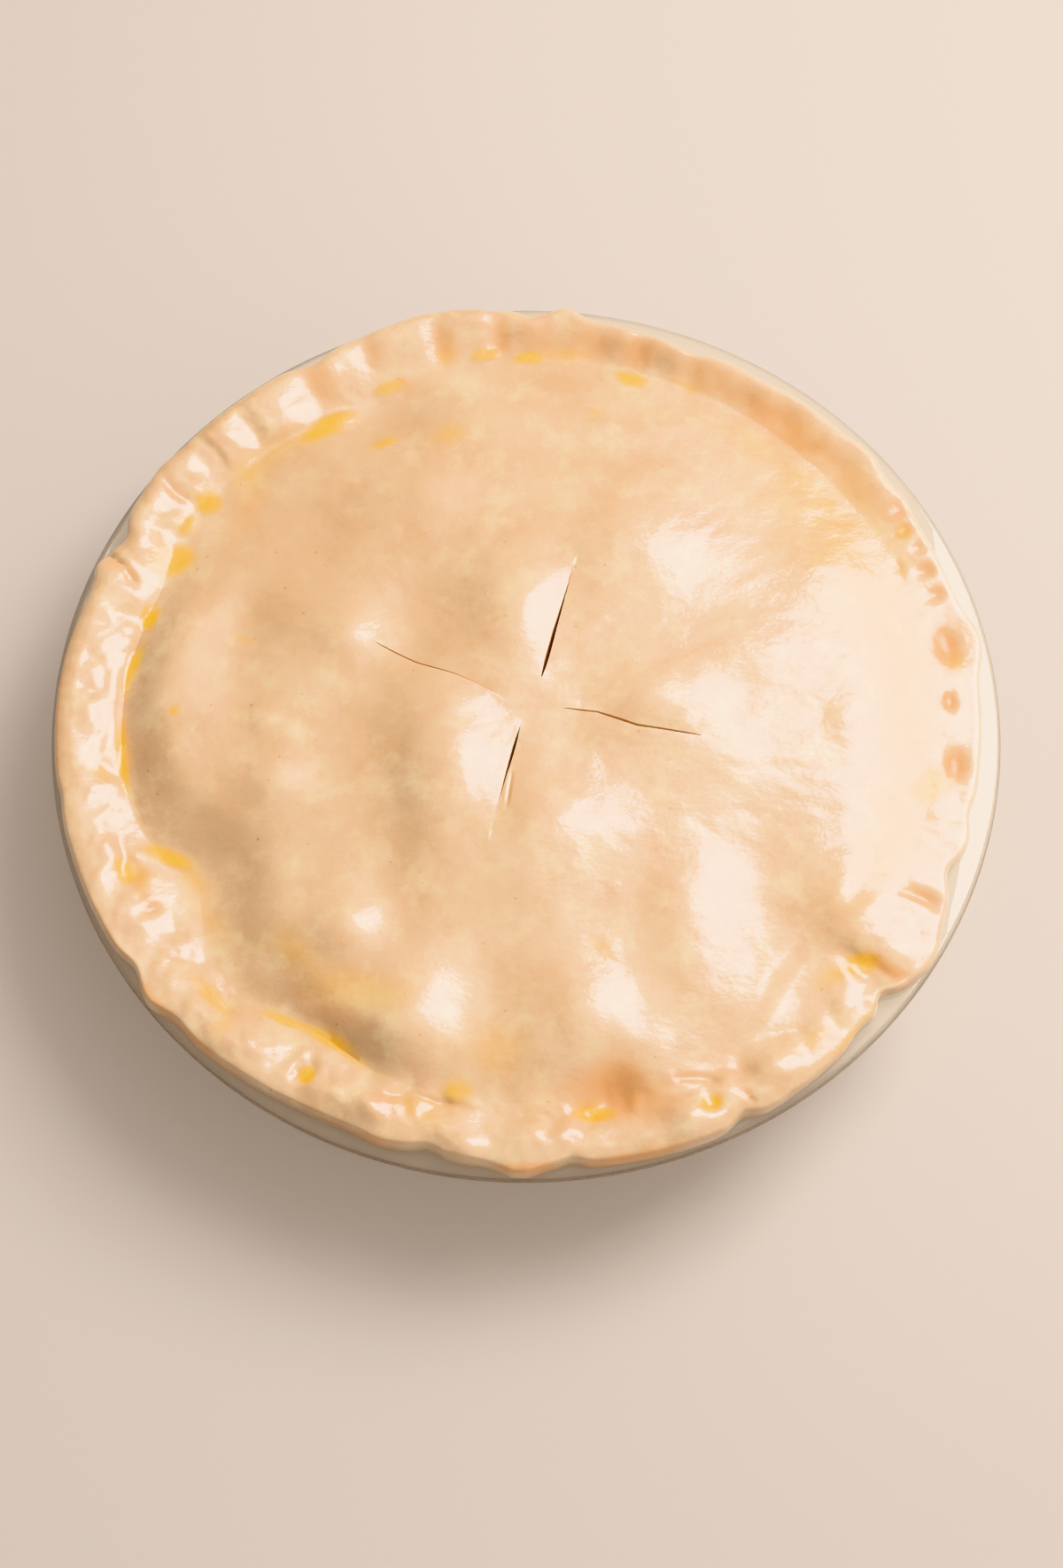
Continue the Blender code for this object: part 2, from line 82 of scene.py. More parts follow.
def bell(distance: Grid, half_width: float) -> Grid:
    """One at the middle, falling off as exp(-(distance / half width) squared)."""
    return np.exp(-np.square(distance / half_width))


def turn_between(angle: Grid, other: float) -> Grid:
    """Degrees from one angle to another, the short way round."""
    return (angle - other + 180.0) % 360.0 - 180.0


def lobes(angle: Grid, table: Table) -> Grid:
    """Sum of the bulges in a table of (angle, half width, size) at an angle."""
    return sum(size * bell(turn_between(angle, middle), wide) for middle, wide, size in table)


def ease(share: Grid) -> Grid:
    """Three share squared less two share cubed, with the share held between 0 and 1."""
    held = np.clip(share, 0.0, 1.0)
    return held * held * (3.0 - 2.0 * held)


def either(shares: Iterable[Grid]) -> Grid:
    """Shares from 0 to 1 laid over each other: one less the product of one less each."""
    return 1.0 - math.prod(1.0 - share for share in shares)


def to_x_y(radius: Grid, angle: Grid) -> tuple[Grid, Grid]:
    """The x and y of places given by distance from the axis and angle round it."""
    return radius * np.cos(np.radians(angle)), radius * np.sin(np.radians(angle))


def soft_noise(across: Grid, along: Grid, seed: int, cells: int = 128) -> Grid:
    """Smooth random relief between -1 and 1 that repeats after a number of cells.

    Each lattice corner gets a random height, and the four corners round a point are mixed
    with eased shares of the way between them.

    Args:
        across: First coordinate in cells.
        along: Second coordinate in cells.
        seed: Picks the random heights, the same each time.
        cells: How many cells there are before the pattern starts again.

    Returns:
        The relief at each point.
    """
    heights = np.random.default_rng(seed).uniform(-1.0, 1.0, (cells, cells))
    left, low = np.floor(across).astype(int), np.floor(along).astype(int)
    share_x, share_y = ease(across - left), ease(along - low)
    left, low = left % cells, low % cells
    right, high = (left + 1) % cells, (low + 1) % cells
    bottom = heights[left, low] * (1.0 - share_x) + heights[right, low] * share_x
    top = heights[left, high] * (1.0 - share_x) + heights[right, high] * share_x
    return bottom * (1.0 - share_y) + top * share_y


def round_corner(before: Grid, corner: Grid, after: Grid, radius: float, steps: int) -> Grid:
    """Points of the arc that touches both arms of a profile's corner.

    Args:
        before: The profile's point before the corner.
        corner: The sharp corner.
        after: The point after it.
        radius: Radius of the arc.
        steps: Number of chords in it.

    Returns:
        Points of the arc, one row each.
    """
    arm_in = (before - corner) / np.linalg.norm(before - corner)
    arm_out = (after - corner) / np.linalg.norm(after - corner)
    opening = math.acos(float(arm_in @ arm_out))
    middle = (arm_in + arm_out) / np.linalg.norm(arm_in + arm_out)
    centre = corner + middle * radius / math.sin(opening / 2.0)
    start = corner + arm_in * radius / math.tan(opening / 2.0) - centre
    end = corner + arm_out * radius / math.tan(opening / 2.0) - centre
    turn = math.atan2(start[0] * end[1] - start[1] * end[0], float(start @ end))
    angles = np.linspace(0.0, turn, steps + 1)[:, None]
    return centre + start * np.cos(angles) + np.array([-start[1], start[0]]) * np.sin(angles)


def rounded_profile(corners: Table, steps: int) -> Grid:
    """A profile through corners that carry their own rounding.

    Args:
        corners: Rows of (radius, height, rounding); a rounding of 0 stays sharp.
        steps: Chords in each rounded corner.

    Returns:
        Rows of (radius, height).
    """
    points = np.array([corner[:2] for corner in corners], dtype=float)
    parts = []
    for index, (_, _, rounding) in enumerate(corners):
        if rounding:
            parts.append(round_corner(points[index - 1], points[index], points[index + 1],
                                      rounding, steps))
        else:
            parts.append(points[index:index + 1])
    return np.concatenate(parts)


def divided(profile: Grid, longest: float) -> Grid:
    """A profile with points added along its long runs.

    Args:
        profile: Rows of (radius, height).
        longest: No run stays longer than this.

    Returns:
        The profile's points with the added ones between them.
    """
    parts = []
    for start, end in zip(profile[:-1], profile[1:]):
        pieces = max(1, math.ceil(float(np.linalg.norm(end - start)) / longest))
        parts.append(start + (end - start) * np.arange(pieces)[:, None] / pieces)
    return np.concatenate([*parts, profile[-1:]])


# ---------------------------------------------------------------- meshes


def build_object(name: str, points: Grid, faces: list[Grid]) -> bpy.types.Object:
    """A smooth mesh object at the origin.

    Args:
        name: Name of the object and its mesh.
        points: Rows of (x, y, z) in millimetres.
        faces: Blocks of faces, each a whole array with one row for a face.

    Returns:
        The object, linked to the scene.
    """
    corners = np.concatenate([block.ravel() for block in faces]).astype(np.int32)
    sizes = np.concatenate([np.full(len(block), block.shape[1]) for block in faces])
    mesh = bpy.data.meshes.new(name)
    mesh.vertices.add(len(points))
    mesh.vertices.foreach_set("co", (points * MM).astype(np.float32).ravel())
    mesh.loops.add(len(corners))
    mesh.loops.foreach_set("vertex_index", corners)
    mesh.polygons.add(len(sizes))
    starts = np.concatenate([[0], np.cumsum(sizes)[:-1]]).astype(np.int32)
    mesh.polygons.foreach_set("loop_start", starts)
    mesh.update(calc_edges=True)
    mesh.shade_smooth()
    made = bpy.data.objects.new(name, mesh)
    bpy.context.scene.collection.objects.link(made)
    return made


def read_points(items: bpy.types.bpy_prop_collection, kind: str) -> Grid:
    """Points of a mesh's corners or faces.

    Args:
        items: The mesh's vertices or polygons.
        kind: "co" for a corner, and "center" for the middle of a face.

    Returns:
        Rows of (x, y, z) in millimetres.
    """
    flat = np.zeros(len(items) * 3, dtype=np.float32)
    items.foreach_get(kind, flat)
    return flat.reshape(-1, 3).astype(float) / MM


@dataclass
class TurnedSkin:
    """A closed skin through rings of points round the upright axis.

    Rings run from the upper pole outwards and down to the lower pole. A ring's point at
    angle t is (radius cos t, radius sin t, height), and its radius and height may change
    with the angle. Neighbouring rings may differ in number by a whole factor.
    """

    points: list[Grid] = field(default_factory=list)
    faces: list[Grid] = field(default_factory=list)
    counts: list[int] = field(default_factory=list)
    total: int = 0

    @staticmethod
    def angles(count: int) -> Grid:
        """The angles of a ring with this many points, in degrees."""
        return np.arange(count) * 360.0 / count

    def pole(self, height: float) -> None:
        """Close the skin with one point on the axis.

        Args:
            height: Height of the point.
        """
        tip = self.total
        self.points.append(np.array([[0.0, 0.0, height]]))
        self.total += 1
        if self.counts:
            ring = tip - self.counts[-1] + np.arange(self.counts[-1])
            self.faces.append(np.stack([ring, np.full_like(ring, tip), np.roll(ring, -1)], -1))
        self.counts.append(1)

    def ring(self, radius: Grid | float, height: Grid | float, count: int) -> None:
        """Add one ring and join it to the one before.

        Args:
            radius: Radius at each of the ring's angles, or one for all.
            height: Height at each of them, or one for all.
            count: Number of points.
        """
        flat = np.broadcast_to(np.asarray(radius, dtype=float), (count,))
        rise = np.broadcast_to(np.asarray(height, dtype=float), (count,))
        self.points.append(np.stack([*to_x_y(flat, self.angles(count)), rise], -1))
        fresh = self.total + np.arange(count)
        before = self.counts[-1]
        old = self.total - before + np.arange(before)
        self.total += count
        self.counts.append(count)
        if before == 1:
            tip = np.full_like(fresh, old[0])
            self.faces.append(np.stack([tip, fresh, np.roll(fresh, -1)], -1))
        elif before == count:
            self.faces.append(np.stack([old, fresh, np.roll(fresh, -1), np.roll(old, -1)], -1))
        else:
            self._stitch(old, fresh)

    def turn(self, profile: Grid, count: int) -> None:
        """Add a ring for each point of a profile, and a pole for its last on the axis.

        Args:
            profile: Rows of (radius, height).
            count: Number of points in each ring.
        """
        for radius, height in profile[:-1]:
            self.ring(radius, height, count)
        self.pole(profile[-1, 1])

    def _stitch(self, old: Grid, fresh: Grid) -> None:
        """Join two rings of unequal number with triangles.

        Each cell of the coarse ring takes a whole number of the fine ring's edges: those of
        its first half go to its first corner and the others to its second.

        Args:
            old: Point numbers of the upper ring.
            fresh: Point numbers of the lower ring.
        """
        fine, coarse = (old, fresh) if len(old) > len(fresh) else (fresh, old)
        factor = len(fine) // len(coarse)
        edge = np.arange(len(fine))
        nearer = ((edge % factor) >= factor // 2).astype(int)
        corner = coarse[(edge // factor + nearer) % len(coarse)]
        cell = np.arange(len(coarse))
        middle = fine[cell * factor + factor // 2]
        if fine is old:
            self.faces.append(np.stack([fine, corner, np.roll(fine, -1)], -1))
            self.faces.append(np.stack([middle, coarse, np.roll(coarse, -1)], -1))
        else:
            self.faces.append(np.stack([corner, fine, np.roll(fine, -1)], -1))
            self.faces.append(np.stack([coarse, middle, np.roll(coarse, -1)], -1))

    def inside_out(self) -> "TurnedSkin":
        """The same skin with its faces turned, for a hollow."""
        self.faces = [block[:, ::-1] for block in self.faces]
        return self


def skins_to_object(name: str, skins: list[TurnedSkin]) -> bpy.types.Object:
    """One object from closed skins, such as a body and the hollow in it.

    Args:
        name: Name of the object and its mesh.
        skins: The skins; a hollow's is turned inside out.

    Returns:
        The object.
    """
    points, faces, offset = [], [], 0
    for skin in skins:
        points += skin.points
        faces += [block + offset for block in skin.faces]
        offset += skin.total
    return build_object(name, np.concatenate(points), faces)


# ---------------------------------------------------------------- finishes


def linear(hex_colour: str) -> Colour:
    """A colour in sRGB hex as linear values.

    Args:
        hex_colour: The colour, such as "#E4C199".

    Returns:
        Red, green, blue and alpha.
    """
    parts = np.array([int(hex_colour[start:start + 2], 16) for start in (1, 3, 5)]) / 255.0
    red, green, blue = np.where(parts <= 0.04045, parts / 12.92, ((parts + 0.055) / 1.055) ** 2.4)
    return float(red), float(green), float(blue), 1.0


def add_node(tree: bpy.types.NodeTree, kind: str, settings: dict | None = None,
             links: dict | None = None) -> bpy.types.Node:
    """Add a node with its settings and links.

    Args:
        tree: The material's node tree.
        kind: Blender's name for the kind of node.
        settings: Values by the name of a property, or by the name or number of an input.
        links: Outputs of other nodes by the name or number of the input they go to.

    Returns:
        The new node.
    """
    node = tree.nodes.new(kind)
    for name, value in (settings or {}).items():
        if isinstance(name, int) or name in node.inputs:
            node.inputs[name].default_value = value
        else:
            setattr(node, name, value)
    for name, output in (links or {}).items():
        tree.links.new(output, node.inputs[name])
    return node


def start_material(name: str) -> tuple[bpy.types.Material, bpy.types.NodeTree,
                                       bpy.types.ShaderNodeBsdfPrincipled]:
    """Start a material.

    Args:
        name: Its name.

    Returns:
        The material, its node tree and its shader.
    """
    made = bpy.data.materials.new(name)
    made.use_nodes = True
    return made, made.node_tree, made.node_tree.nodes["Principled BSDF"]


def set_shader(shader: bpy.types.ShaderNodeBsdfPrincipled, values: dict) -> None:
    """Set constants on the shader's own sockets, by name."""
    for name, value in values.items():
        shader.inputs[name].default_value = value


@dataclass(frozen=True)
class Patches:
    """Soft random patches of another tone.

    A patch starts where a noise from 0 to 1 passes the low value, and has its full share at
    the high one. The size is in millimetres, and detail and ragged shape its outline.
    """

    tint: str
    size: float
    detail: float
    ragged: float
    low: float
    high: float
    full: float = 1.0


@dataclass(frozen=True)
class RawPastry:
    """Raw wheat shortcrust, rolled out: pale, slightly see-through, with bran flecks.

    The eye sees a warm cream with soft browner clouds and smaller buttery spots, tiny brown
    flecks and the fine streaks that the rolling pin leaves, and darker patches of painted
    shade on the lid, most of them on its left. Brushed with egg wash it also gets a clear wet
    coat, orange-brown and duller where the dough in a hollow has taken it up, with painted
    orange shade in the hollows, dimples and along the outer edge, and yellow where the egg
    stands deeper. The rim's outer edge on the right is paler: a painted highlight.
    """

    name: str
    brushed: bool
    cream: str = "#E4C199"
    clouds: Patches = Patches("#D6AC80", 22.0, 6.0, 0.68, 0.4, 0.66)
    butter: Patches = Patches("#EFD9AE", 9.0, 3.0, 0.65, 0.5, 0.72, 0.6)
    # painted shade: darker patches on the lid, most of them on its left
    thin: str = "#CFA67A"
    fleck: str = "#A06A3C"
    # orange of egg sunk into the dough, and painted orange shade in hollows, dimples and along the
    # outer edge
    soaked_and_shaded: str = "#E8A868"
    egg: str = "#FFC20E"
    # painted highlight along the rim's outer edge on the right
    pale: str = "#F8EBD4"
    fleck_spacing: float = 2.6
    fleck_edge: tuple[float, float] = (0.09, 0.15)
    fleck_choice: tuple[float, float] = (0.86, 0.97)
    fleck_share: float = 0.6
    streak_size: float = 2.0
    streak_stretch: tuple[float, float, float] = (0.7, 1.0, 1.0)
    streak_depth: float = 0.12
    glow_depth: float = 2.4
    dulled: float = 0.9

    def patch_share(self, tree: bpy.types.NodeTree, place: bpy.types.NodeSocket,
                    patches: Patches) -> bpy.types.NodeSocket:
        """How much of a patch's tone each place has.

        Args:
            tree: The material's node tree.
            place: Object coordinates.
            patches: The patches.

        Returns:
            The share.
        """
        noise = add_node(tree, "ShaderNodeTexNoise",
                         {"Scale": 1.0 / (patches.size * MM), "Detail": patches.detail,
                          "Roughness": patches.ragged}, {"Vector": place})
        return add_node(tree, "ShaderNodeMapRange",
                        {"From Min": patches.low, "From Max": patches.high,
                         "To Max": patches.full},
                        {"Value": noise.outputs["Fac"]}).outputs["Result"]

    def flecks(self, tree: bpy.types.NodeTree,
               place: bpy.types.NodeSocket) -> bpy.types.NodeSocket:
        """How much of a bran fleck each place has: the middles of a few scattered cells.

        Args:
            tree: The material's node tree.
            place: Object coordinates.

        Returns:
            The share.
        """
        cells = add_node(tree, "ShaderNodeTexVoronoi",
                         {"Scale": 1.0 / (self.fleck_spacing * MM), "Randomness": 1.0},
                         {"Vector": place})
        start, end = self.fleck_edge
        near = add_node(tree, "ShaderNodeMapRange",
                        {"From Min": start, "From Max": end, "To Min": 1.0, "To Max": 0.0},
                        {"Value": cells.outputs["Distance"]})
        chosen = add_node(tree, "ShaderNodeSeparateColor", None,
                          {"Color": cells.outputs["Color"]})
        start, end = self.fleck_choice
        some = add_node(tree, "ShaderNodeMapRange",
                        {"From Min": start, "From Max": end, "To Max": self.fleck_share},
                        {"Value": chosen.outputs["Red"]})
        return add_node(tree, "ShaderNodeMath", {"operation": "MULTIPLY"},
                        {0: near.outputs["Result"], 1: some.outputs["Result"]}).outputs[0]

    def build(self) -> bpy.types.Material:
        """Lay the dough's tones, its painted shade and painted highlight over its cream, one on
        the other, and wet them.

        Returns:
            The material, with its patterns on Object coordinates.
        """
        made, tree, shader = start_material(self.name)
        place = add_node(tree, "ShaderNodeTexCoord").outputs["Object"]
        coats = {"soaked_and_shaded": self.soaked_and_shaded, "egg": self.egg, "pale": self.pale}
        coats = coats if self.brushed else {}
        amounts = {name: add_node(tree, "ShaderNodeAttribute", {"attribute_name": name})
                   .outputs["Fac"] for name in ("thin", *coats)}
        # the layers include painted shade on the lid, painted orange shade with the egg sunk in,
        # and a painted highlight on the rim's edge
        layers = [(self.clouds.tint, self.patch_share(tree, place, self.clouds)),
                  (self.butter.tint, self.patch_share(tree, place, self.butter)),
                  (self.thin, amounts["thin"]), (self.fleck, self.flecks(tree, place)),
                  *((tint, amounts[name]) for name, tint in coats.items())]
        below = {}  # the first layer lies on the plain cream
        for tint, share in layers:
            mixed = add_node(tree, "ShaderNodeMix",
                             {"data_type": "RGBA", 6: linear(self.cream), 7: linear(tint)},
                             {0: share, **below})
            below = {6: mixed.outputs[2]}
        tree.links.new(below[6], shader.inputs["Base Color"])
        streaks = add_node(tree, "ShaderNodeMapping", {"Scale": self.streak_stretch},
                           {"Vector": place})
        grain = add_node(tree, "ShaderNodeTexNoise",
                         {"Scale": 1.0 / (self.streak_size * MM), "Detail": 4.0,
                          "Roughness": 0.6}, {"Vector": streaks.outputs["Vector"]})
        bump = add_node(tree, "ShaderNodeBump",
                        {"Strength": 1.0, "Distance": self.streak_depth * MM},
                        {"Height": grain.outputs["Fac"]}).outputs["Normal"]
        tree.links.new(bump, shader.inputs["Normal"])
        set_shader(shader, {"Roughness": 0.38, "Subsurface Weight": 0.45,
                            "Subsurface Radius": (1.0, 0.55, 0.28),
                            "Subsurface Scale": self.glow_depth * MM})
        if self.brushed:
            # the coat is duller where egg has sunk in and the painted orange shade lies
            wet = add_node(tree, "ShaderNodeMath",
                           {"operation": "MULTIPLY_ADD", 1: -self.dulled, 2: 1.0},
                           {0: amounts["soaked_and_shaded"]})
            tree.links.new(wet.outputs[0], shader.inputs["Coat Weight"])
            tree.links.new(bump, shader.inputs["Coat Normal"])
            set_shader(shader, {"Coat Roughness": 0.05, "Coat IOR": 1.6})
        made.diffuse_color = linear(self.cream)
        return made


@dataclass(frozen=True)
class PressedGlass:
    """Clear pressed glass, polished by the fire.

    The eye sees through it, with a faint waviness of the pressing that bends what lies
    behind, and sees its edges as brownish lines.
    """

    name: str = "clear_pressed_glass"
    tint: str = "#F0E8DA"
    wave_size: float = 18.0
    wave_depth: float = 0.05

    def build(self) -> bpy.types.Material:
        """Make the glass.

        Returns:
            The material, with its waves on Object coordinates.
        """
        made, tree, shader = start_material(self.name)
        place = add_node(tree, "ShaderNodeTexCoord").outputs["Object"]
        waves = add_node(tree, "ShaderNodeTexNoise",
                         {"Scale": 1.0 / (self.wave_size * MM), "Detail": 1.0},
                         {"Vector": place})
        bump = add_node(tree, "ShaderNodeBump",
                        {"Strength": 0.4, "Distance": self.wave_depth * MM},
                        {"Height": waves.outputs["Fac"]})
        tree.links.new(bump.outputs["Normal"], shader.inputs["Normal"])
        set_shader(shader, {"Base Color": linear(self.tint), "Roughness": 0.0,
                            "Transmission Weight": 0.92, "IOR": 1.5,
                            "Specular IOR Level": 0.35})
        made.diffuse_color = linear(self.tint)
        return made


@dataclass(frozen=True)
class BeefGravy:
    """Stewed beef in a red-brown gravy: dark wet chunks with glossy sauce between them."""

    name: str = "stewed_beef_in_gravy"
    meat: str = "#7A2E1A"
    sauce: str = "#B04A22"
    chunk_size: float = 9.0
    fibre_size: float = 1.5
    fibre_depth: float = 0.3

    def build(self) -> bpy.types.Material:
        """Make the meat's fibres in chunks of about their real size.

        Returns:
            The material, with its patterns on Object coordinates.
        """
        made, tree, shader = start_material(self.name)
        place = add_node(tree, "ShaderNodeTexCoord").outputs["Object"]
        chunks = add_node(tree, "ShaderNodeTexVoronoi", {"Scale": 1.0 / (self.chunk_size * MM)},
                          {"Vector": place})
        fibre = add_node(tree, "ShaderNodeTexNoise",
                         {"Scale": 1.0 / (self.fibre_size * MM), "Detail": 4.0},
                         {"Vector": place})
        share = add_node(tree, "ShaderNodeMath", {"operation": "MULTIPLY"},
                         {0: chunks.outputs["Distance"], 1: fibre.outputs["Fac"]})
        colour = add_node(tree, "ShaderNodeMix",
                          {"data_type": "RGBA", 6: linear(self.meat), 7: linear(self.sauce)},
                          {0: share.outputs[0]})
        bump = add_node(tree, "ShaderNodeBump",
                        {"Strength": 1.0, "Distance": self.fibre_depth * MM},
                        {"Height": fibre.outputs["Fac"]})
        tree.links.new(bump.outputs["Normal"], shader.inputs["Normal"])
        tree.links.new(colour.outputs[2], shader.inputs["Base Color"])
        set_shader(shader, {"Roughness": 0.35, "Coat Weight": 0.6, "Coat Roughness": 0.1})
        made.diffuse_color = linear(self.meat)
        return made


@dataclass(frozen=True)
class StudioFloor:
    """A plain pale matt floor, with the little light that a white room throws into shadows."""

    name: str = "pale_floor"
    colour: str = "#A69E97"
    room_glow: str = "#D9C2AE"
    room_share: float = 0.35

    def build(self) -> bpy.types.Material:
        """Make the floor's material.

        Returns:
            The material.
        """
        made, _, shader = start_material(self.name)
        set_shader(shader, {"Base Color": linear(self.colour), "Roughness": 0.7,
                            "Emission Color": linear(self.room_glow),
                            "Emission Strength": self.room_share})
        return made


# ---------------------------------------------------------------- the dish


@dataclass
class GlassDish:
    """The clear pie dish: flat base, leaning wall and plain flat flange."""

    radius: float = 122.5
    height: float = 38.0
    wall: float = 4.0
    base: float = 5.0
    flange: float = 3.4
    flange_inner: float = 111.5
    base_inner: float = 92.0
    edge_round: float = 1.6
    flange_round: float = 4.0
    base_round: float = 8.0
    foot_round: float = 5.0
    segments: int = 320
    corner_steps: int = 8
    longest_run: float = 14.0
    finish: PressedGlass = PressedGlass()

    @property
    def lean(self) -> float:
        """Lean of the wall from upright, in radians."""
        return math.atan2(self.flange_inner - self.base_inner, self.height - self.base)

    def wall_radius(self, height: float, inset: float) -> float:
        """Radius of the inner wall at a height, moved inwards by an inset.

        Args:
            height: Height above the table.
            inset: How far inside the glass, square to the wall.

        Returns:
            The radius.
        """
        return (self.base_inner + (height - self.base) * math.tan(self.lean)
                - inset / math.cos(self.lean))

    def build(self) -> bpy.types.Object:
        """Turn the dish's profile, from the middle of its inside to that of its underside.

        Returns:
            The dish.
        """
        under = self.height - self.flange
        profile = rounded_profile((
            (0.0, self.base, 0.0),
            (self.base_inner, self.base, self.base_round),
            (self.flange_inner, self.height, self.flange_round),
            (self.radius, self.height, self.edge_round),
            (self.radius, under, self.edge_round),
            (self.wall_radius(under, -self.wall), under, self.flange_round),
            (self.wall_radius(0.0, -self.wall), 0.0, self.foot_round),
            (0.0, 0.0, 0.0),
        ), self.corner_steps)
        skin = TurnedSkin()
        skin.pole(self.base)
        skin.turn(divided(profile, self.longest_run)[1:], self.segments)
        made = skins_to_object("clear_glass_dish", [skin])
        made.data.materials.append(self.finish.build())
        made.visible_shadow = False  # light goes through clear glass to the floor
        return made


# ---------------------------------------------------------------- the dough's relief


@dataclass(frozen=True)
class Places:
    """Places seen from above, by their distance from the axis and the angle round it."""

    radius: Grid
    angle: Grid

    @classmethod
    def under(cls, points: Grid) -> "Places":
        """The places below rows of (x, y, z)."""
        return cls(np.hypot(points[:, 0], points[:, 1]),
                   np.degrees(np.arctan2(points[:, 1], points[:, 0])))

    @cached_property
    def x_y(self) -> tuple[Grid, Grid]:
        """The same places by distance to the right and towards the far side."""
        return to_x_y(self.radius, self.angle)

    def round_bell(self, angle: float, radius: float, along: float, across: float,
                   size: float) -> Grid:
        """A bell over an oval in angle and radius: the size times a bell in each."""
        return (size * bell(turn_between(self.angle, angle), along)
                * bell(self.radius - radius, across))

    def flat_bell(self, x: float, y: float, wide: float, deep: float, size: float) -> Grid:
        """A bell over an oval in x and y: the size times a bell in each."""
        return size * bell(self.x_y[0] - x, wide) * bell(self.x_y[1] - y, deep)

    def off_oval(self, angle: float, radius: float, along: float, across: float,
                 lean: float = 0.0) -> Grid:
        """Distance from the middle of an oval in angle and radius, 1 on its outline.

        Args:
            angle: Angle of its middle.
            radius: Radius of its middle.
            along: Its half width in angle.
            across: Its half width in radius.
            lean: How much further out it lies for each degree on.

        Returns:
            The distance, as the hypotenuse of the shares of both half widths.
        """
        turn = turn_between(self.angle, angle)
        return np.hypot(turn / along, (self.radius - radius - lean * turn) / across)

    def beside(self, path: Table | Grid) -> tuple[Grid, Grid, Grid]:
        """Where the places lie beside a broken line.

        Args:
            path: The line's corners, rows of (x, y).

        Returns:
            Distance to the line, share of the way along it, and 1 on its left or -1.
        """
        x, y = self.x_y
        corners = np.array(path, dtype=float)
        runs = np.diff(corners, axis=0)
        lengths = np.linalg.norm(runs, axis=1)
        before = np.concatenate([[0.0], np.cumsum(lengths)])
        distance, share, side = np.full(x.shape, np.inf), np.zeros(x.shape), np.ones(x.shape)
        for index, (run_x, run_y) in enumerate(runs):
            off_x, off_y = x - corners[index, 0], y - corners[index, 1]
            part = np.clip((off_x * run_x + off_y * run_y) / lengths[index] ** 2, 0.0, 1.0)
            away = np.hypot(off_x - part * run_x, off_y - part * run_y)
            nearer = away < distance
            distance = np.where(nearer, away, distance)
            share = np.where(nearer, (before[index] + part * lengths[index]) / before[-1], share)
            side = np.where(nearer, np.sign(run_x * off_y - run_y * off_x), side)
        return distance, share, side


@dataclass(frozen=True)
class Vent:
    """A knife cut through the lid.

    Its path is a broken line, and it gapes widest at a share of the way along it; the more
    taper, the shorter the gape. Seen along it, the lid is lifted on its left side, and the
    lip on its right ends lower than the other by a step.
    """

    name: str
    path: Table
    width: float
    widest: float
    taper: float
    lift: float
    step: float


@dataclass(frozen=True)
class Fold:
    """A crease in the dough along a broken line of (angle, radius) corners.

    It has a depth and a half width, and the dough on its left is higher by a step.
    """

    path: Table
    depth: float
    width: float
    step: float


@dataclass(frozen=True)
class EggPool:
    """Egg wash that stands in a hollow: an oval in angle and radius, and how yellow it is.

    Where it is only faintly yellow it is a film and doesn't level the dough.
    """

    angle: float
    radius: float
    along: float
    across: float
    yellow: float
    lean: float = 0.0
    depth: float = 0.3


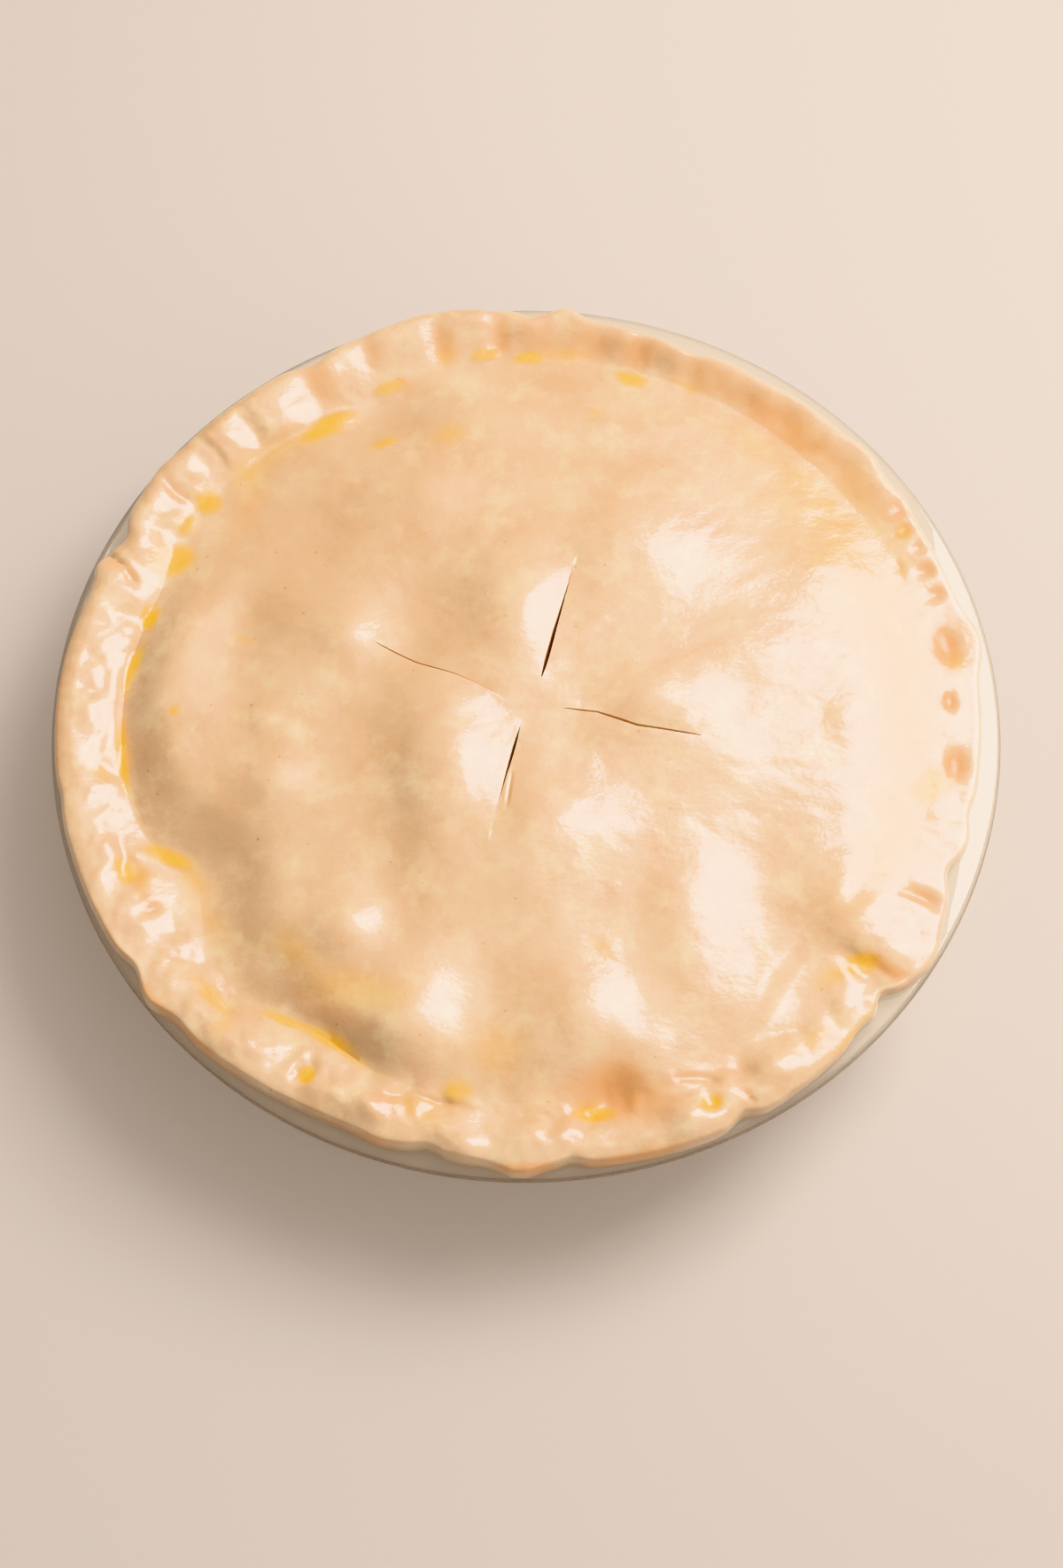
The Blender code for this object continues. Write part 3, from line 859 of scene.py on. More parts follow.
@dataclass
class DoughRelief:
    """The upper face of the dough as a height over the table, in millimetres.

    Tables of lobes have rows of (angle, half width, size). Rim marks and the ovals of egg sunk
    in with painted orange shade are ovals, with rows of (angle, radius, half width in angle,
    half width in radius, size). Lid lumps and the patches of painted shade are ovals too, with
    rows of (x, y, half width in x, half width in y, size).
    Ripple sizes have rows of (cell width in x, cell width in y, shift, share).
    """

    apex: float = 48.0
    crest_height: float = 45.0
    edge_height: float = 42.6
    outline_plain: float = 119.7
    outline_shift: float = 1.8
    outline_largest: float = 122.3
    outline_lobes: Table = (
        (-169, 2, -0.6), (-145, 2.2, -1.5), (-140.5, 2, 1.2), (-136, 2, -0.8), (-115, 13, -1.6),
        (-108, 2, 0.7), (-102, 2, -1.7), (-91, 2.6, 2.3), (-85, 1.6, -1.2), (-68, 17, 1.8),
        (-58, 26, 1.2), (-64, 1.8, -2), (-46, 3, -1.5), (-41.3, 1.6, -2.8), (-34, 4, 3.2),
        (-22.5, 2.8, -3.2), (-14, 2.2, -1.2), (-10, 8, -0.8), (9.8, 3.8, 3), (50, 40, -1.6),
        (31, 1.8, 1), (39, 3, 1.8), (56, 3, -0.9), (67, 3, -1.2), (70, 13, -2), (84.3, 1.8, 2.2),
        (89, 1.6, -1.6), (102, 8, 2.2), (130, 45, -1.3), (119, 2.6, -1.8), (144, 2.5, 0.7),
        (154.5, 2.3, -2.6), (159.4, 1.6, 1.4), (161, 9, -1.6))
    valley_plain: float = 104.0
    valley_lobes: Table = (
        (-151, 9, -8.5), (-121, 8, -4), (-79, 6, 2.5), (-42, 9, -4.5), (2, 20, 3), (118, 10, -3),
        (158, 12, -2))
    dome_fall: float = 3.4
    shoulder_fall: float = 3.4
    shoulder_fall_lobes: Table = (
        (48, 34, -2), (-4, 22, -1.3), (178, 40, 1.2), (-148, 15, 1.2), (-122, 12, 1.2),
        (-92, 16, -2), (-60, 20, -1), (-72, 9, -0.9), (-38, 12, -1.2))
    shoulder_width: float = 26.0
    shoulder_width_lobes: Table = (
        (176, 22, -14), (-120, 12, -15), (112, 16, -2), (-96, 16, -12), (50, 26, -13),
        (-33, 14, -14))
    crest_inset: float = 3.8
    crest_inset_swing: float = 1.6
    thin_crest_angle: float = 45.0
    crest_lobes: Table = (
        (62, 26, 1.4), (-16, 20, -3.2), (12, 16, -2.6), (-44, 12, -1.6), (-147, 8, -1.7))
    edge_lobes: Table = ((-2, 24, -1.4), (-140, 70, 1.4))
    crisp_lobes: Table = (
        (178, 17, 1), (-121, 9, 1), (160, 9, 0.4), (55, 20, 0.3), (130, 9, 0.7))
    foot_share: float = 0.5
    foot_power: int = 5
    rim_marks: Table = (
        (-172, 107, 2.2, 3.5, -0.7), (-157, 109, 2, 4, -1.4), (-150.5, 108, 1, 3.5, -0.9),
        (-147, 106, 2.4, 3, -0.8), (-134, 109, 1.8, 4, -0.8), (-129, 111.5, 4.5, 7, 1.6),
        (-119.3, 111, 1.1, 4, -1.5), (-110, 112, 2, 5, 1.2), (-101, 108, 1.8, 6, -1),
        (-97.5, 117, 2.3, 4, 1.3), (-89, 114, 3.2, 5, 1.3), (-82, 108, 2.2, 2.8, -1.6),
        (-78, 103, 3, 6.5, -1.5), (-76, 108, 0.9, 2.4, 0.7), (-79.5, 104.5, 0.9, 2.4, -0.5),
        (-70, 115, 2.8, 5, 1.8), (-67, 114, 1.1, 2.2, -1.5), (-61, 110, 1.4, 3, -0.8),
        (-58, 113, 3.4, 5, 1.7), (-46, 111, 2, 4, 0.8), (-40, 109, 1.5, 6, -2.2),
        (-36, 103, 4.4, 13, 1.7), (-27.3, 112, 1, 6, -0.8), (-8, 110.5, 2.6, 3.2, -1.3),
        (-11.5, 106, 2.2, 3.4, -0.5), (1.2, 109, 1.4, 2, -1.1), (9.3, 110.5, 3, 3.4, -1.5),
        (17, 112, 1, 2.6, -0.9), (20.7, 112, 0.9, 2.6, -0.9), (24, 113, 0.8, 2, -0.8),
        (22.5, 106, 1, 1.2, -0.5), (27.3, 112, 0.8, 3.5, -0.7), (30, 114, 1.2, 3, -0.9),
        (40, 110, 2, 4.5, -0.5), (50, 109, 2.2, 4.5, -0.9), (56, 107, 1.6, 3, -0.6),
        (65.5, 109, 1.4, 4.5, -0.8), (73.5, 110, 1.6, 4.5, -1), (80, 110, 2.2, 5, -1),
        (93.8, 112, 1.5, 6, -1), (102, 112, 1.6, 6, -1), (112, 113, 1.6, 6, -0.9),
        (120.8, 111, 2.2, 6.5, -1.1), (127.5, 111, 3, 7, 0.9), (135, 111, 2.6, 7, 1),
        (139.5, 114, 1.2, 4.5, -0.5), (145, 112, 1.1, 5, -1), (151, 109, 1.6, 4.5, -0.9),
        (165, 107, 1.4, 4, -0.7))
    folds: tuple[Fold, ...] = tuple(Fold(*row) for row in (
        (((157.3, 120), (158.3, 113), (160.6, 106.5)), 1.1, 1, 0.8),
        (((130.8, 118), (130.2, 111), (130.8, 103)), 0, 1.8, 1.2),
        (((137.6, 119), (137, 112), (137.8, 105)), 0.3, 1, 0.8),
        (((144.6, 118), (145.6, 112), (144.8, 108)), 0.5, 0.8, 0.2),
        (((-64.4, 111), (-66.5, 107.5), (-70.5, 105)), 0.9, 0.9, 0.3),
        (((-62.4, 119.5), (-62.8, 114)), 0.6, 0.8, 0.2),
        (((-120.3, 108), (-120.3, 115)), 0.7, 0.7, 0.3),
        (((-37, 121), (-39, 116), (-38.5, 106)), 0.5, 1, 0.7),
        (((-28.5, 118), (-27.6, 112), (-28.6, 104)), 0.4, 0.8, 0.3),
        (((-58, 102), (-50, 94.5), (-44, 93.5), (-36, 96), (-28, 100.5)), -0.8, 3.2, 0.8),
        (((-100.2, 18.6), (-99.5, 30.4)), 0.35, 0.5, 0.2),
        (((60, 100), (68, 93), (79, 87)), 0.3, 2.4, 0.5),
        (((169, 100), (173, 101.2), (-178, 101.8)), 0.5, 0.9, 0),
        (((-106, 106), (-101, 106.4), (-96.5, 106.2)), 0.5, 0.9, 0.2)))
    lid_lumps: Table = (
        (27, 48, 20, 18, 3.4), (2, -38, 14, 21, 3.4), (17, -34, 13, 12, 1.2), (7, 3, 7, 7, 0.3),
        (29, 0, 4.5, 2.6, 0.3), (22, -50, 2.2, 2.2, 0.25), (21, -66, 2.2, 2.6, 0.25),
        (-46, -60, 9, 8, 2.8), (-30, -86, 13, 17, 4.4), (12, -84, 14, 16, 3.3),
        (30, -94, 14, 13, 2), (53, -82, 10, 10, 1.6), (40, -64, 10, 24, 1.8), (-47, 21, 8, 9, 2),
        (-64, -21, 8, 8, 2.1), (-67, -4, 4, 5, 0.9), (-60, -8, 3, 3, 0.45), (-90, 6, 6, 24, 0.8),
        (33, 1, 15, 13, 2.4), (58, 16, 12, 10, 1.1), (86, -50, 13, 12, 1.6),
        (48, -16, 14, 12, 0.7), (82, -4, 6, 6, 0.4), (78, 38, 18, 12, 0.9), (-27, 62, 13, 12, 1.6),
        (-4, 26, 13, 23, 3.4), (-22, -15, 13, 29, 4.5), (-73, 20, 9, 26, -2),
        (-26, 26, 14, 16, -2), (-33, -40, 9, 20, -0.8), (-36, 86, 13, 10, -2.4),
        (-70, -38, 15, 12, -1.4), (20, -104, 8, 5, -1.8), (59, -42, 9, 15, -0.9),
        (-58, 52, 15, 17, -2), (75, -3, 5, 5, -0.3), (97, -12, 5, 8, -0.35))
    vents: tuple[Vent, ...] = (
        Vent("far", ((4.0, 6.3), (7.6, 20.5), (13.7, 42.5)), 0.95, 0.2, 1.6, 0.7, 1.0),
        Vent("left", ((-2.5, -0.8), (-16.7, 7.0), (-27.5, 11.3), (-39.2, 18.0)), 0.9, 0.62,
             0.7, 0.3, 1.2),
        Vent("right", ((44.7, -9.5), (28.3, -6.7), (18.3, -2.8), (9.2, -1.7)), 0.9, 0.5,
             0.5, 0.3, 0.7),
        Vent("near", ((-9.7, -39.2), (-5.0, -20.0), (-1.3, -6.2)), 0.7, 0.78, 1.2, 0.7, 1.0),
    )
    ridge_away: float = 9.0
    ridge_back: float = 10.0
    low_lip_reach: float = 12.0
    lip_fade: float = 0.3
    pools: tuple[EggPool, ...] = tuple(EggPool(*row) for row in (
        (-174, 103.9, 6, 1.7, 1), (-179.5, 89.8, 0.9, 0.8, 0.8), (164.6, 75.6, 0.7, 2.2, 0.5),
        (-172, 109, 2, 1.8, 0.5), (-157, 98.5, 3.2, 3, 1, -1.4), (-152, 95, 3, 2.4, 0.4, -0.4),
        (-146, 97, 6, 3, 0.2), (-157, 109.8, 2, 2.6, 0.95), (-155, 107, 3.4, 3, 0.35),
        (-135.5, 109.3, 3.8, 2.2, 0.6), (-131.5, 113, 1, 3, 0.35),
        (-126, 101.9, 3.8, 1.3, 0.8, -0.42), (-119.5, 100.3, 4.4, 1.9, 0.85),
        (-115, 101.8, 3, 1.4, 0.5, 0.4), (-119, 111.3, 1.2, 2.8, 0.95),
        (-104, 109.5, 3.4, 4, 0.35), (-99.5, 102.8, 2.4, 2.8, 0.65), (-95, 92, 5, 7, 0.25),
        (-74.7, 68.4, 2.8, 3.2, 0.3), (-118, 87, 9, 5, 0.3, -0.3), (-132, 87, 5, 4, 0.25),
        (-81.5, 108.3, 3, 2.6, 1, 0.2), (-67, 114.3, 1.6, 2.2, 1),
        (-40, 107.5, 2.4, 3.4, 0.85, 0.9), (-43, 105, 3.4, 2.6, 0.59, 0.5),
        (-46.5, 118.7, 4.5, 1.4, 0.59), (-42, 117.6, 1.4, 1, 0.8), (-51, 113.6, 2.6, 2.2, 0.4),
        (-11.8, 104.6, 3.2, 4, 1, 0.3, 0.1), (-11, 109.8, 1.6, 1.6, 0.59, 0.5),
        (3, 98, 26, 9, 0.38), (30, 95, 18, 14, 0.35), (-22, 99, 10, 8, 0.3),
        (11, 118, 2.5, 1.5, 0.35), (6.5, 112, 1.6, 2.6, 0.5), (27, 111.5, 1.2, 2, 0.6),
        (28, 88, 1.2, 3.4, 0.25), (35.5, 98.8, 1.8, 2.4, 0.45), (42, 97.5, 3.5, 3.4, 0.25),
        (51, 98, 6, 3, 0.2), (73.5, 101.7, 2.8, 2.3, 1), (65.5, 104.6, 2.2, 1.4, 0.4),
        (77.5, 88, 1.6, 1.6, 0.35), (89.3, 104.6, 2.4, 2, 0.95), (84, 106, 3.2, 1.9, 0.45),
        (95.5, 106.3, 2.4, 2, 0.75), (101.5, 107.5, 2, 2.6, 0.35), (110.5, 103.3, 2.6, 1.8, 0.7),
        (122, 99.6, 5.2, 3.2, 1), (131, 101.5, 6, 3.4, 0.25), (115.5, 86.5, 2.6, 1.8, 0.6),
        (104, 82, 3, 3, 0.4), (136.5, 102, 2.4, 4.4, 0.35), (139, 96, 4, 3, 0.15),
        (143.6, 104.3, 2, 3.8, 0.95), (148.3, 105.2, 1.9, 2.8, 0.75),
        (154.2, 102.8, 3.2, 5.4, 0.9, 0.5), (164, 102, 2.3, 2.5, 1),
        (172.5, 103, 4.4, 1.5, 1, 0.25)))
    # ovals of egg sunk in and of painted orange shade: hollows, dimples, the rim's inner slope and
    # its outer edge
    soak_and_shade_ovals: Table = (
        (-8, 110.5, 3, 3.4, 0.8), (1.2, 109, 1.8, 2.4, 0.75), (9.3, 110.5, 4.2, 4.2, 0.8),
        (14, 114, 1.6, 2, 0.5), (17.2, 112.5, 1.2, 3, 0.5), (20.8, 112.5, 1.3, 3, 0.5),
        (22.5, 106, 1.1, 1.3, 0.4), (24.5, 113, 0.8, 2.4, 0.4), (27, 111.5, 1.2, 3.4, 0.55),
        (30, 112.5, 2.2, 3.6, 0.55), (38, 109, 7, 4.4, 0.35), (50, 107.5, 8, 5.6, 0.65),
        (62, 108.5, 7, 4.4, 0.45), (73.5, 109, 3, 4.6, 0.5), (81, 109.5, 4, 5.2, 0.5),
        (88, 109.5, 3, 6, 0.35), (93.5, 111, 2.2, 7, 0.5), (101.5, 111, 2.2, 6.6, 0.45),
        (111.5, 113, 2.4, 5, 0.3), (119.5, 111, 3, 6.5, 0.45), (145.5, 112, 1, 4, 0.3),
        (158.8, 113, 1.2, 6, 0.4), (176, 120, 16, 1.2, 0.3), (-150.5, 108, 0.8, 3, 0.6),
        (-155, 107, 4, 3, 0.4), (-133, 120.4, 14, 1.2, 0.5), (-112, 119.7, 9, 1.2, 0.5),
        (-88, 121, 8, 1.4, 0.7), (-77, 121, 7, 1.4, 0.6), (-77, 103, 4.5, 8, 0.6),
        (-70, 105.5, 2.6, 1.4, 0.4), (-80, 101, 5, 5, 0.4), (-75, 109, 5, 5, 0.45),
        (-64, 108, 5, 7, 0.25), (-86, 107, 6, 9, 0.25), (-62.6, 116.5, 0.9, 3, 0.5),
        (-38.2, 114, 1.3, 7, 0.7), (-27.4, 112, 1.2, 6, 0.5), (-100, 106.4, 4.5, 1, 0.4),
        (-107, 109, 4, 4, 0.2), (143, 93, 7, 4, 0.3), (-121, 95, 7, 3, 0.3), (108, 102, 3, 3, 0.3))
    # patches of painted shade on the lid
    thin_places: Table = (
        (-55, 48, 20, 22, 0.7), (-30, 33, 12, 13, 0.8), (-22, 14, 10, 8, 0.4),
        (-62, 28, 16, 20, 0.5), (-42, 82, 16, 12, 0.6), (-77, -32, 10, 16, 0.8),
        (-82, 6, 8, 22, 0.4), (-33, -2, 10, 14, 0.35), (-35, -40, 8, 22, 0.35),
        (-20, 60, 10, 12, 0.3), (-12, -56, 10, 9, 0.2), (10, -80, 12, 9, 0.3),
        (22, -101, 9, 6, 0.9), (24, -14, 14, 7, 0.3))
    film_spread: float = 0.9
    pool_end: float = 1.25
    pool_shore: float = 0.8
    pool_deepest: float = 1.5
    soak_and_shade_end: float = 1.3
    # the painted highlight along the rim's outer edge on the right
    edge_light_share: float = 0.8
    edge_light_width: float = 3.5
    edge_light_angle: float = 22.0
    edge_light_reach: float = 50.0
    rim_middle: float = 111.0
    rim_reach: float = 7.0
    wrinkle: float = 0.75
    wrinkle_seeds: tuple[int, int] = (3, 4)
    wrinkle_cells: int = 72
    wrinkle_run: float = 8.0
    fine_cells: int = 270
    fine_run: float = 2.8
    fine_share: float = 0.34
    wrinkle_lean: float = 0.25
    wrinkle_least: float = 0.1
    wrinkle_left_power: float = 1.5
    fold_blunt: float = 0.006
    film_yellow: float = 0.6
    fold_fade: float = 0.25
    fold_reach: float = 2.5
    ripple: float = 0.05
    ripple_seed: int = 5
    ripple_sizes: Table = ((9, 7, 40, 2), (4, 3, 60, 1.8))

    def outline(self, angle: Grid) -> Grid:
        """Radius of the rim's outer edge: a circle set off to the left, with bulges."""
        plain = self.outline_plain - self.outline_shift * np.cos(np.radians(angle))
        return np.minimum(plain + lobes(angle, self.outline_lobes), self.outline_largest)

    def valley(self, angle: Grid) -> Grid:
        """Radius of the low ring between the lid and the rim."""
        return self.valley_plain + lobes(angle, self.valley_lobes)

    def crest(self, angle: Grid) -> Grid:
        """Radius of the rim's highest line."""
        swing = np.cos(np.radians(angle - self.thin_crest_angle))
        return self.outline(angle) - self.crest_inset + self.crest_inset_swing * swing

    def plain_height(self, at: Places) -> Grid:
        """Height without marks and lumps.

        Inside the valley it is the apex less a parabola and less a shoulder, and from the
        valley to the crest it climbs. Where the valley is crisp, the shoulder falls as a
        quarter wave and the climb starts with a sudden foot, one less (1 - share) to a
        power. Where it is soft, both are eased. Outside the crest it falls as a parabola.

        Args:
            at: The places.

        Returns:
            The height there.
        """
        radius, angle = at.radius, at.angle
        valley, crest, outline = self.valley(angle), self.crest(angle), self.outline(angle)
        crisp = np.clip(lobes(angle, self.crisp_lobes), 0.0, 1.0)
        shoulder = self.shoulder_fall + lobes(angle, self.shoulder_fall_lobes)
        width = self.shoulder_width + lobes(angle, self.shoulder_width_lobes)
        inwards = np.clip((valley - radius) / width, 0.0, 1.0)
        soft_climb = ease(inwards)
        climb = soft_climb + crisp * (np.sin(inwards * np.pi / 2.0) - soft_climb)
        lid = self.apex - self.dome_fall * (radius / valley) ** 2 - shoulder * (1.0 - climb)
        low = self.apex - self.dome_fall - shoulder
        top = self.crest_height + lobes(angle, self.crest_lobes)
        share = np.clip((radius - valley) / (crest - valley), 0.0, 1.0)
        foot = share + self.foot_share * (1.0 - (1.0 - share) ** self.foot_power - share)
        soft_rise = ease(share)
        rim = low + (top - low) * (soft_rise + crisp * (foot - soft_rise))
        edge = self.edge_height + lobes(angle, self.edge_lobes)
        fall = np.clip((radius - crest) / (outline - crest), 0.0, 1.0)
        outer = top - (top - edge) * fall ** 2
        return np.where(radius <= valley, lid, np.where(radius <= crest, rim, outer))

    def lips(self, vent: Vent, at: Places) -> Grid:
        """Rise and fall of the lid along a vent.

        The lip on the left climbs away from the cut as 1 less (1 - distance / ridge)
        squared and falls behind that ridge as a bell. The lip on the right dips towards the
        cut, also as a square. Both fade out at the ends of the cut.

        Args:
            vent: The vent.
            at: The places.

        Returns:
            The rise there.
        """
        distance, share, side = at.beside(vent.path)
        fade = ease(np.minimum(share, 1.0 - share) / self.lip_fade)
        climb = 1.0 - np.square(1.0 - np.minimum(distance / self.ridge_away, 1.0))
        climb = climb * bell(np.maximum(distance - self.ridge_away, 0.0), self.ridge_back)
        dip = np.square(np.clip(1.0 - distance / self.low_lip_reach, 0.0, 1.0))
        return fade * np.where(side > 0, vent.lift * climb, -vent.step * dip)

    def crease(self, fold: Fold, at: Places) -> Grid:
        """Dip and step along a fold, fading at its ends.

        The dip is a bell across the fold. The step is eased in over the fold's half width
        and dies out further away as a bell, up on the left and down on the right.

        Args:
            fold: The fold.
            at: The places.

        Returns:
            The rise there.
        """
        turn, out = np.array(fold.path).T
        distance, share, side = at.beside(np.stack(to_x_y(out, turn), -1))
        fade = ease(np.minimum(share, 1.0 - share) / self.fold_fade)
        dip = -fold.depth * bell(distance, fold.width)
        step = fold.step / 2.0 * side * ease(distance / fold.width)
        return fade * (dip + step * bell(distance, self.fold_reach * fold.width))

    def wrinkles(self, at: Places) -> Grid:
        """Small folds of the pinched rim: round lumps with sharp creases between them.

        The broad size is a random relief folded at its zero, the fine one a third of it. They
        are strongest on the left, where the dough was pinched hardest.

        Args:
            at: The places.

        Returns:
            The rise there.
        """
        on_rim = bell(at.radius - self.rim_middle, self.rim_reach) * self.wrinkle
        left = 0.5 - 0.5 * np.cos(np.radians(at.angle - self.thin_crest_angle))
        left = left ** self.wrinkle_left_power
        shear = (at.radius - self.rim_middle) * self.wrinkle_lean
        broad, fine = (
            soft_noise((at.angle + lean) / 360.0 * cells, at.radius / run, seed, cells)
            for lean, cells, run, seed in (
                (shear, self.wrinkle_cells, self.wrinkle_run, self.wrinkle_seeds[0]),
                (-shear, self.fine_cells, self.fine_run, self.wrinkle_seeds[1])))
        folded = 2.0 * np.sqrt(broad ** 2 + self.fold_blunt) - 1.0 + self.fine_share * fine
        return on_rim * (self.wrinkle_least + (1.0 - self.wrinkle_least) * left) * folded

    def ripples(self, at: Places) -> Grid:
        """Faint unevenness of the rolled lid: random reliefs of two sizes.

        Args:
            at: The places.

        Returns:
            The rise there.
        """
        x, y = at.x_y
        return self.ripple * sum(
            share * soft_noise(x / wide + shift, y / deep + shift, seed)
            for seed, (wide, deep, shift, share) in enumerate(self.ripple_sizes,
                                                              self.ripple_seed))

    def dough_height(self, at: Places) -> Grid:
        """Height of the dough's upper face without the egg wash: all its reliefs together.

        Args:
            at: The places.

        Returns:
            The height there.
        """
        return (self.plain_height(at)
                + sum(at.round_bell(*mark) for mark in self.rim_marks)
                + sum(at.flat_bell(*lump) for lump in self.lid_lumps)
                + sum(self.lips(vent, at) for vent in self.vents)
                + sum(self.crease(fold, at) for fold in self.folds)
                + self.wrinkles(at) + self.ripples(at))

    @cached_property
    def pool_levels(self) -> Grid:
        """Height of the egg wash in each pool: the dough's at its middle, and a little more.

        Returns:
            One height for each pool.
        """
        radius, angle, depth = np.array([(pool.radius, pool.angle, pool.depth * pool.yellow)
                                         for pool in self.pools]).T
        return self.dough_height(Places(radius, angle)) + depth

    def pool_share(self, pool: EggPool, at: Places) -> Grid:
        """How much of a pool there is: eased down at its shore, and a film's as a bell.

        Args:
            pool: The pool or film.
            at: The places.

        Returns:
            One in its middle and 0 far outside it.
        """
        away = at.off_oval(pool.angle, pool.radius, pool.along, pool.across, pool.lean)
        if pool.yellow < self.film_yellow:
            return bell(away, self.film_spread)
        return ease((self.pool_end - away) / self.pool_shore)

    def yellow(self, at: Places) -> Grid:
        """How yellow the egg wash is, from 0 to 1."""
        return either(pool.yellow * self.pool_share(pool, at) for pool in self.pools)

    def soak_and_shade(self, at: Places) -> Grid:
        """How much egg has sunk in, with painted orange shade in hollows, dimples and along the
        outer edge, from 0 to 1: ovals eased out past their outline.
        """
        return either(amount * ease(self.soak_and_shade_end - at.off_oval(*oval))
                      for *oval, amount in self.soak_and_shade_ovals)

    def pale(self, at: Places) -> Grid:
        """How much painted highlight lies along the rim's outer edge on the right.

        Args:
            at: The places.

        Returns:
            The share, from 0 to 1.
        """
        outwards = ease((at.radius - self.outline(at.angle) + self.edge_light_width) / self.edge_light_width)
        return (self.edge_light_share * outwards
                * bell(turn_between(at.angle, self.edge_light_angle), self.edge_light_reach))

    def thin(self, at: Places) -> Grid:
        """How much painted shade lies on the lid, from 0 to 1: oval bells."""
        return either(at.flat_bell(*place) for place in self.thin_places)

    def height(self, at: Places) -> Grid:
        """Height of the upper face with the egg wash, which levels the hollows it fills.

        Args:
            at: The places.

        Returns:
            The height there.
        """
        filled = self.dough_height(at)
        for pool, level in zip(self.pools, self.pool_levels):
            if pool.yellow >= self.film_yellow:
                missing = np.clip(level - filled, 0.0, self.pool_deepest)
                filled = filled + self.pool_share(pool, at) * missing
        return filled

    @property
    def middle_height(self) -> float:
        """Height of the upper face on the axis."""
        return float(self.height(Places(np.zeros(1), np.zeros(1)))[0])


# ---------------------------------------------------------------- the crust


@dataclass
class PastryCrust:
    """Lid, pinched rim and lining of raw dough in one skin, with four vents cut through.

    The upper face has rings at a step up to an end over the vents, then from a start to an
    end at a wider step, and from there a number each to the valley, the crest and the edge.
    The edge's rings are given by how far they are turned round it, in degrees.
    """

    dish: GlassDish
    relief: DoughRelief
    gap: float = 0.3
    lid: float = 3.6
    lining: float = 3.6
    edge_round: float = 1.3
    edge_under_round: float = 1.2
    roof_radius: float = 97.0
    roof_step: float = 6.0
    corner_drop: float = 4.0
    segments: int = 840
    hidden_segments: int = 168
    vent_rings: tuple[float, float] = (1.2, 46.0)
    calm_rings: tuple[float, float, float] = (47.4, 82.0, 2.1)
    ring_counts: tuple[int, int, int] = (13, 20, 6)
    edge_turns: tuple[int, ...] = (72, 54, 36, 18, 0)
    edge_under_turns: tuple[int, ...] = (-30, -60, -90)
    lining_steps: int = 6
    room_steps: int = 4
    longest_run: float = 20.0
    vent_bottom: float = 41.0
    vent_top: float = 58.0
    vent_steps: int = 40
    wall_depth: float = 0.8
    underside: float = 0.6
    sharp_angle: float = 50.0
    washed: RawPastry = RawPastry("pastry_with_egg_wash", brushed=True)
    plain: RawPastry = RawPastry("plain_raw_pastry", brushed=False)

    @property
    def seat(self) -> float:
        """Height of the dough's underside on the flange."""
        return self.dish.height + self.gap

    def edge_start(self, angle: Grid) -> Grid:
        """Radius where the upper face starts to turn down at the outer edge."""
        return self.relief.outline(angle) - self.edge_round

    def upper_radii(self, angle: Grid) -> list[Grid]:
        """Radii of the rings on the upper face, from the middle to the outer edge.

        Rings are close together over the vents and on the rim, and further apart between.

        Args:
            angle: The ring's angles.

        Returns:
            One array of radii for each ring.
        """
        first, last = self.vent_rings
        flat = np.concatenate([np.arange(first, last, first), np.arange(*self.calm_rings)])
        rings = [np.full_like(angle, radius) for radius in flat]
        stages = (rings[-1], self.relief.valley(angle), self.relief.crest(angle),
                  self.edge_start(angle))
        for inner, outer, count in zip(stages, stages[1:], self.ring_counts):
            rings += [inner + (outer - inner) * step / count for step in range(1, count + 1)]
        return rings

    def outer_skin(self) -> TurnedSkin:
        """The dough's outside: upper face, rounded edge, underside and lining.

        Returns:
            The closed skin.
        """
        skin = TurnedSkin()
        angle = skin.angles(self.segments)
        skin.pole(self.relief.middle_height)
        for radius in self.upper_radii(angle):
            skin.ring(radius, self.relief.height(Places(radius, angle)), self.segments)
        start = self.edge_start(angle)
        widest = self.seat + self.edge_under_round
        rise = self.relief.height(Places(start, angle)) - widest
        for turn in np.radians(self.edge_turns):
            skin.ring(start + self.edge_round * np.cos(turn), widest + rise * np.sin(turn),
                      self.segments)
        start = start + self.edge_round - self.edge_under_round
        for turn in np.radians(self.edge_under_turns):
            skin.ring(start + self.edge_under_round * np.cos(turn),
                      widest + self.edge_under_round * np.sin(turn), self.segments)
        base = self.dish.base + self.gap
        profile = rounded_profile((
            (self.dish.radius, self.seat, 0.0),
            (self.dish.wall_radius(self.seat, self.gap), self.seat,
             self.dish.flange_round + self.gap),
            (self.dish.wall_radius(base, self.gap), base, self.dish.base_round - self.gap),
            (0.0, base, 0.0),
        ), self.lining_steps)[1:]
        skin.turn(divided(profile, self.longest_run), self.hidden_segments)
        return skin

    def room_skin(self, inset: float, drop: float, count: int) -> TurnedSkin:
        """The filling's room, or what fills it.

        Args:
            inset: Distance to the glass at the wall and the base.
            drop: Depth of the roof under the dough's upper face.
            count: Points in each ring.

        Returns:
            The closed skin, its faces outwards.
        """
        skin = TurnedSkin()
        angle = skin.angles(count)
        skin.pole(self.relief.middle_height - drop)
        for radius in [*np.arange(self.roof_step, self.roof_radius - self.roof_step,
                                  self.roof_step), self.roof_radius]:
            at = Places(np.full_like(angle, radius), angle)
            skin.ring(at.radius, self.relief.height(at) - drop, count)
        top = self.dish.height - self.corner_drop - inset
        base = self.dish.base + inset
        profile = rounded_profile((
            (self.dish.wall_radius(top, inset), top, 0.0),
            (self.dish.wall_radius(base, inset), base, self.dish.base_round - inset),
            (0.0, base, 0.0),
        ), self.room_steps)
        skin.turn(divided(profile, self.longest_run), count)
        return skin

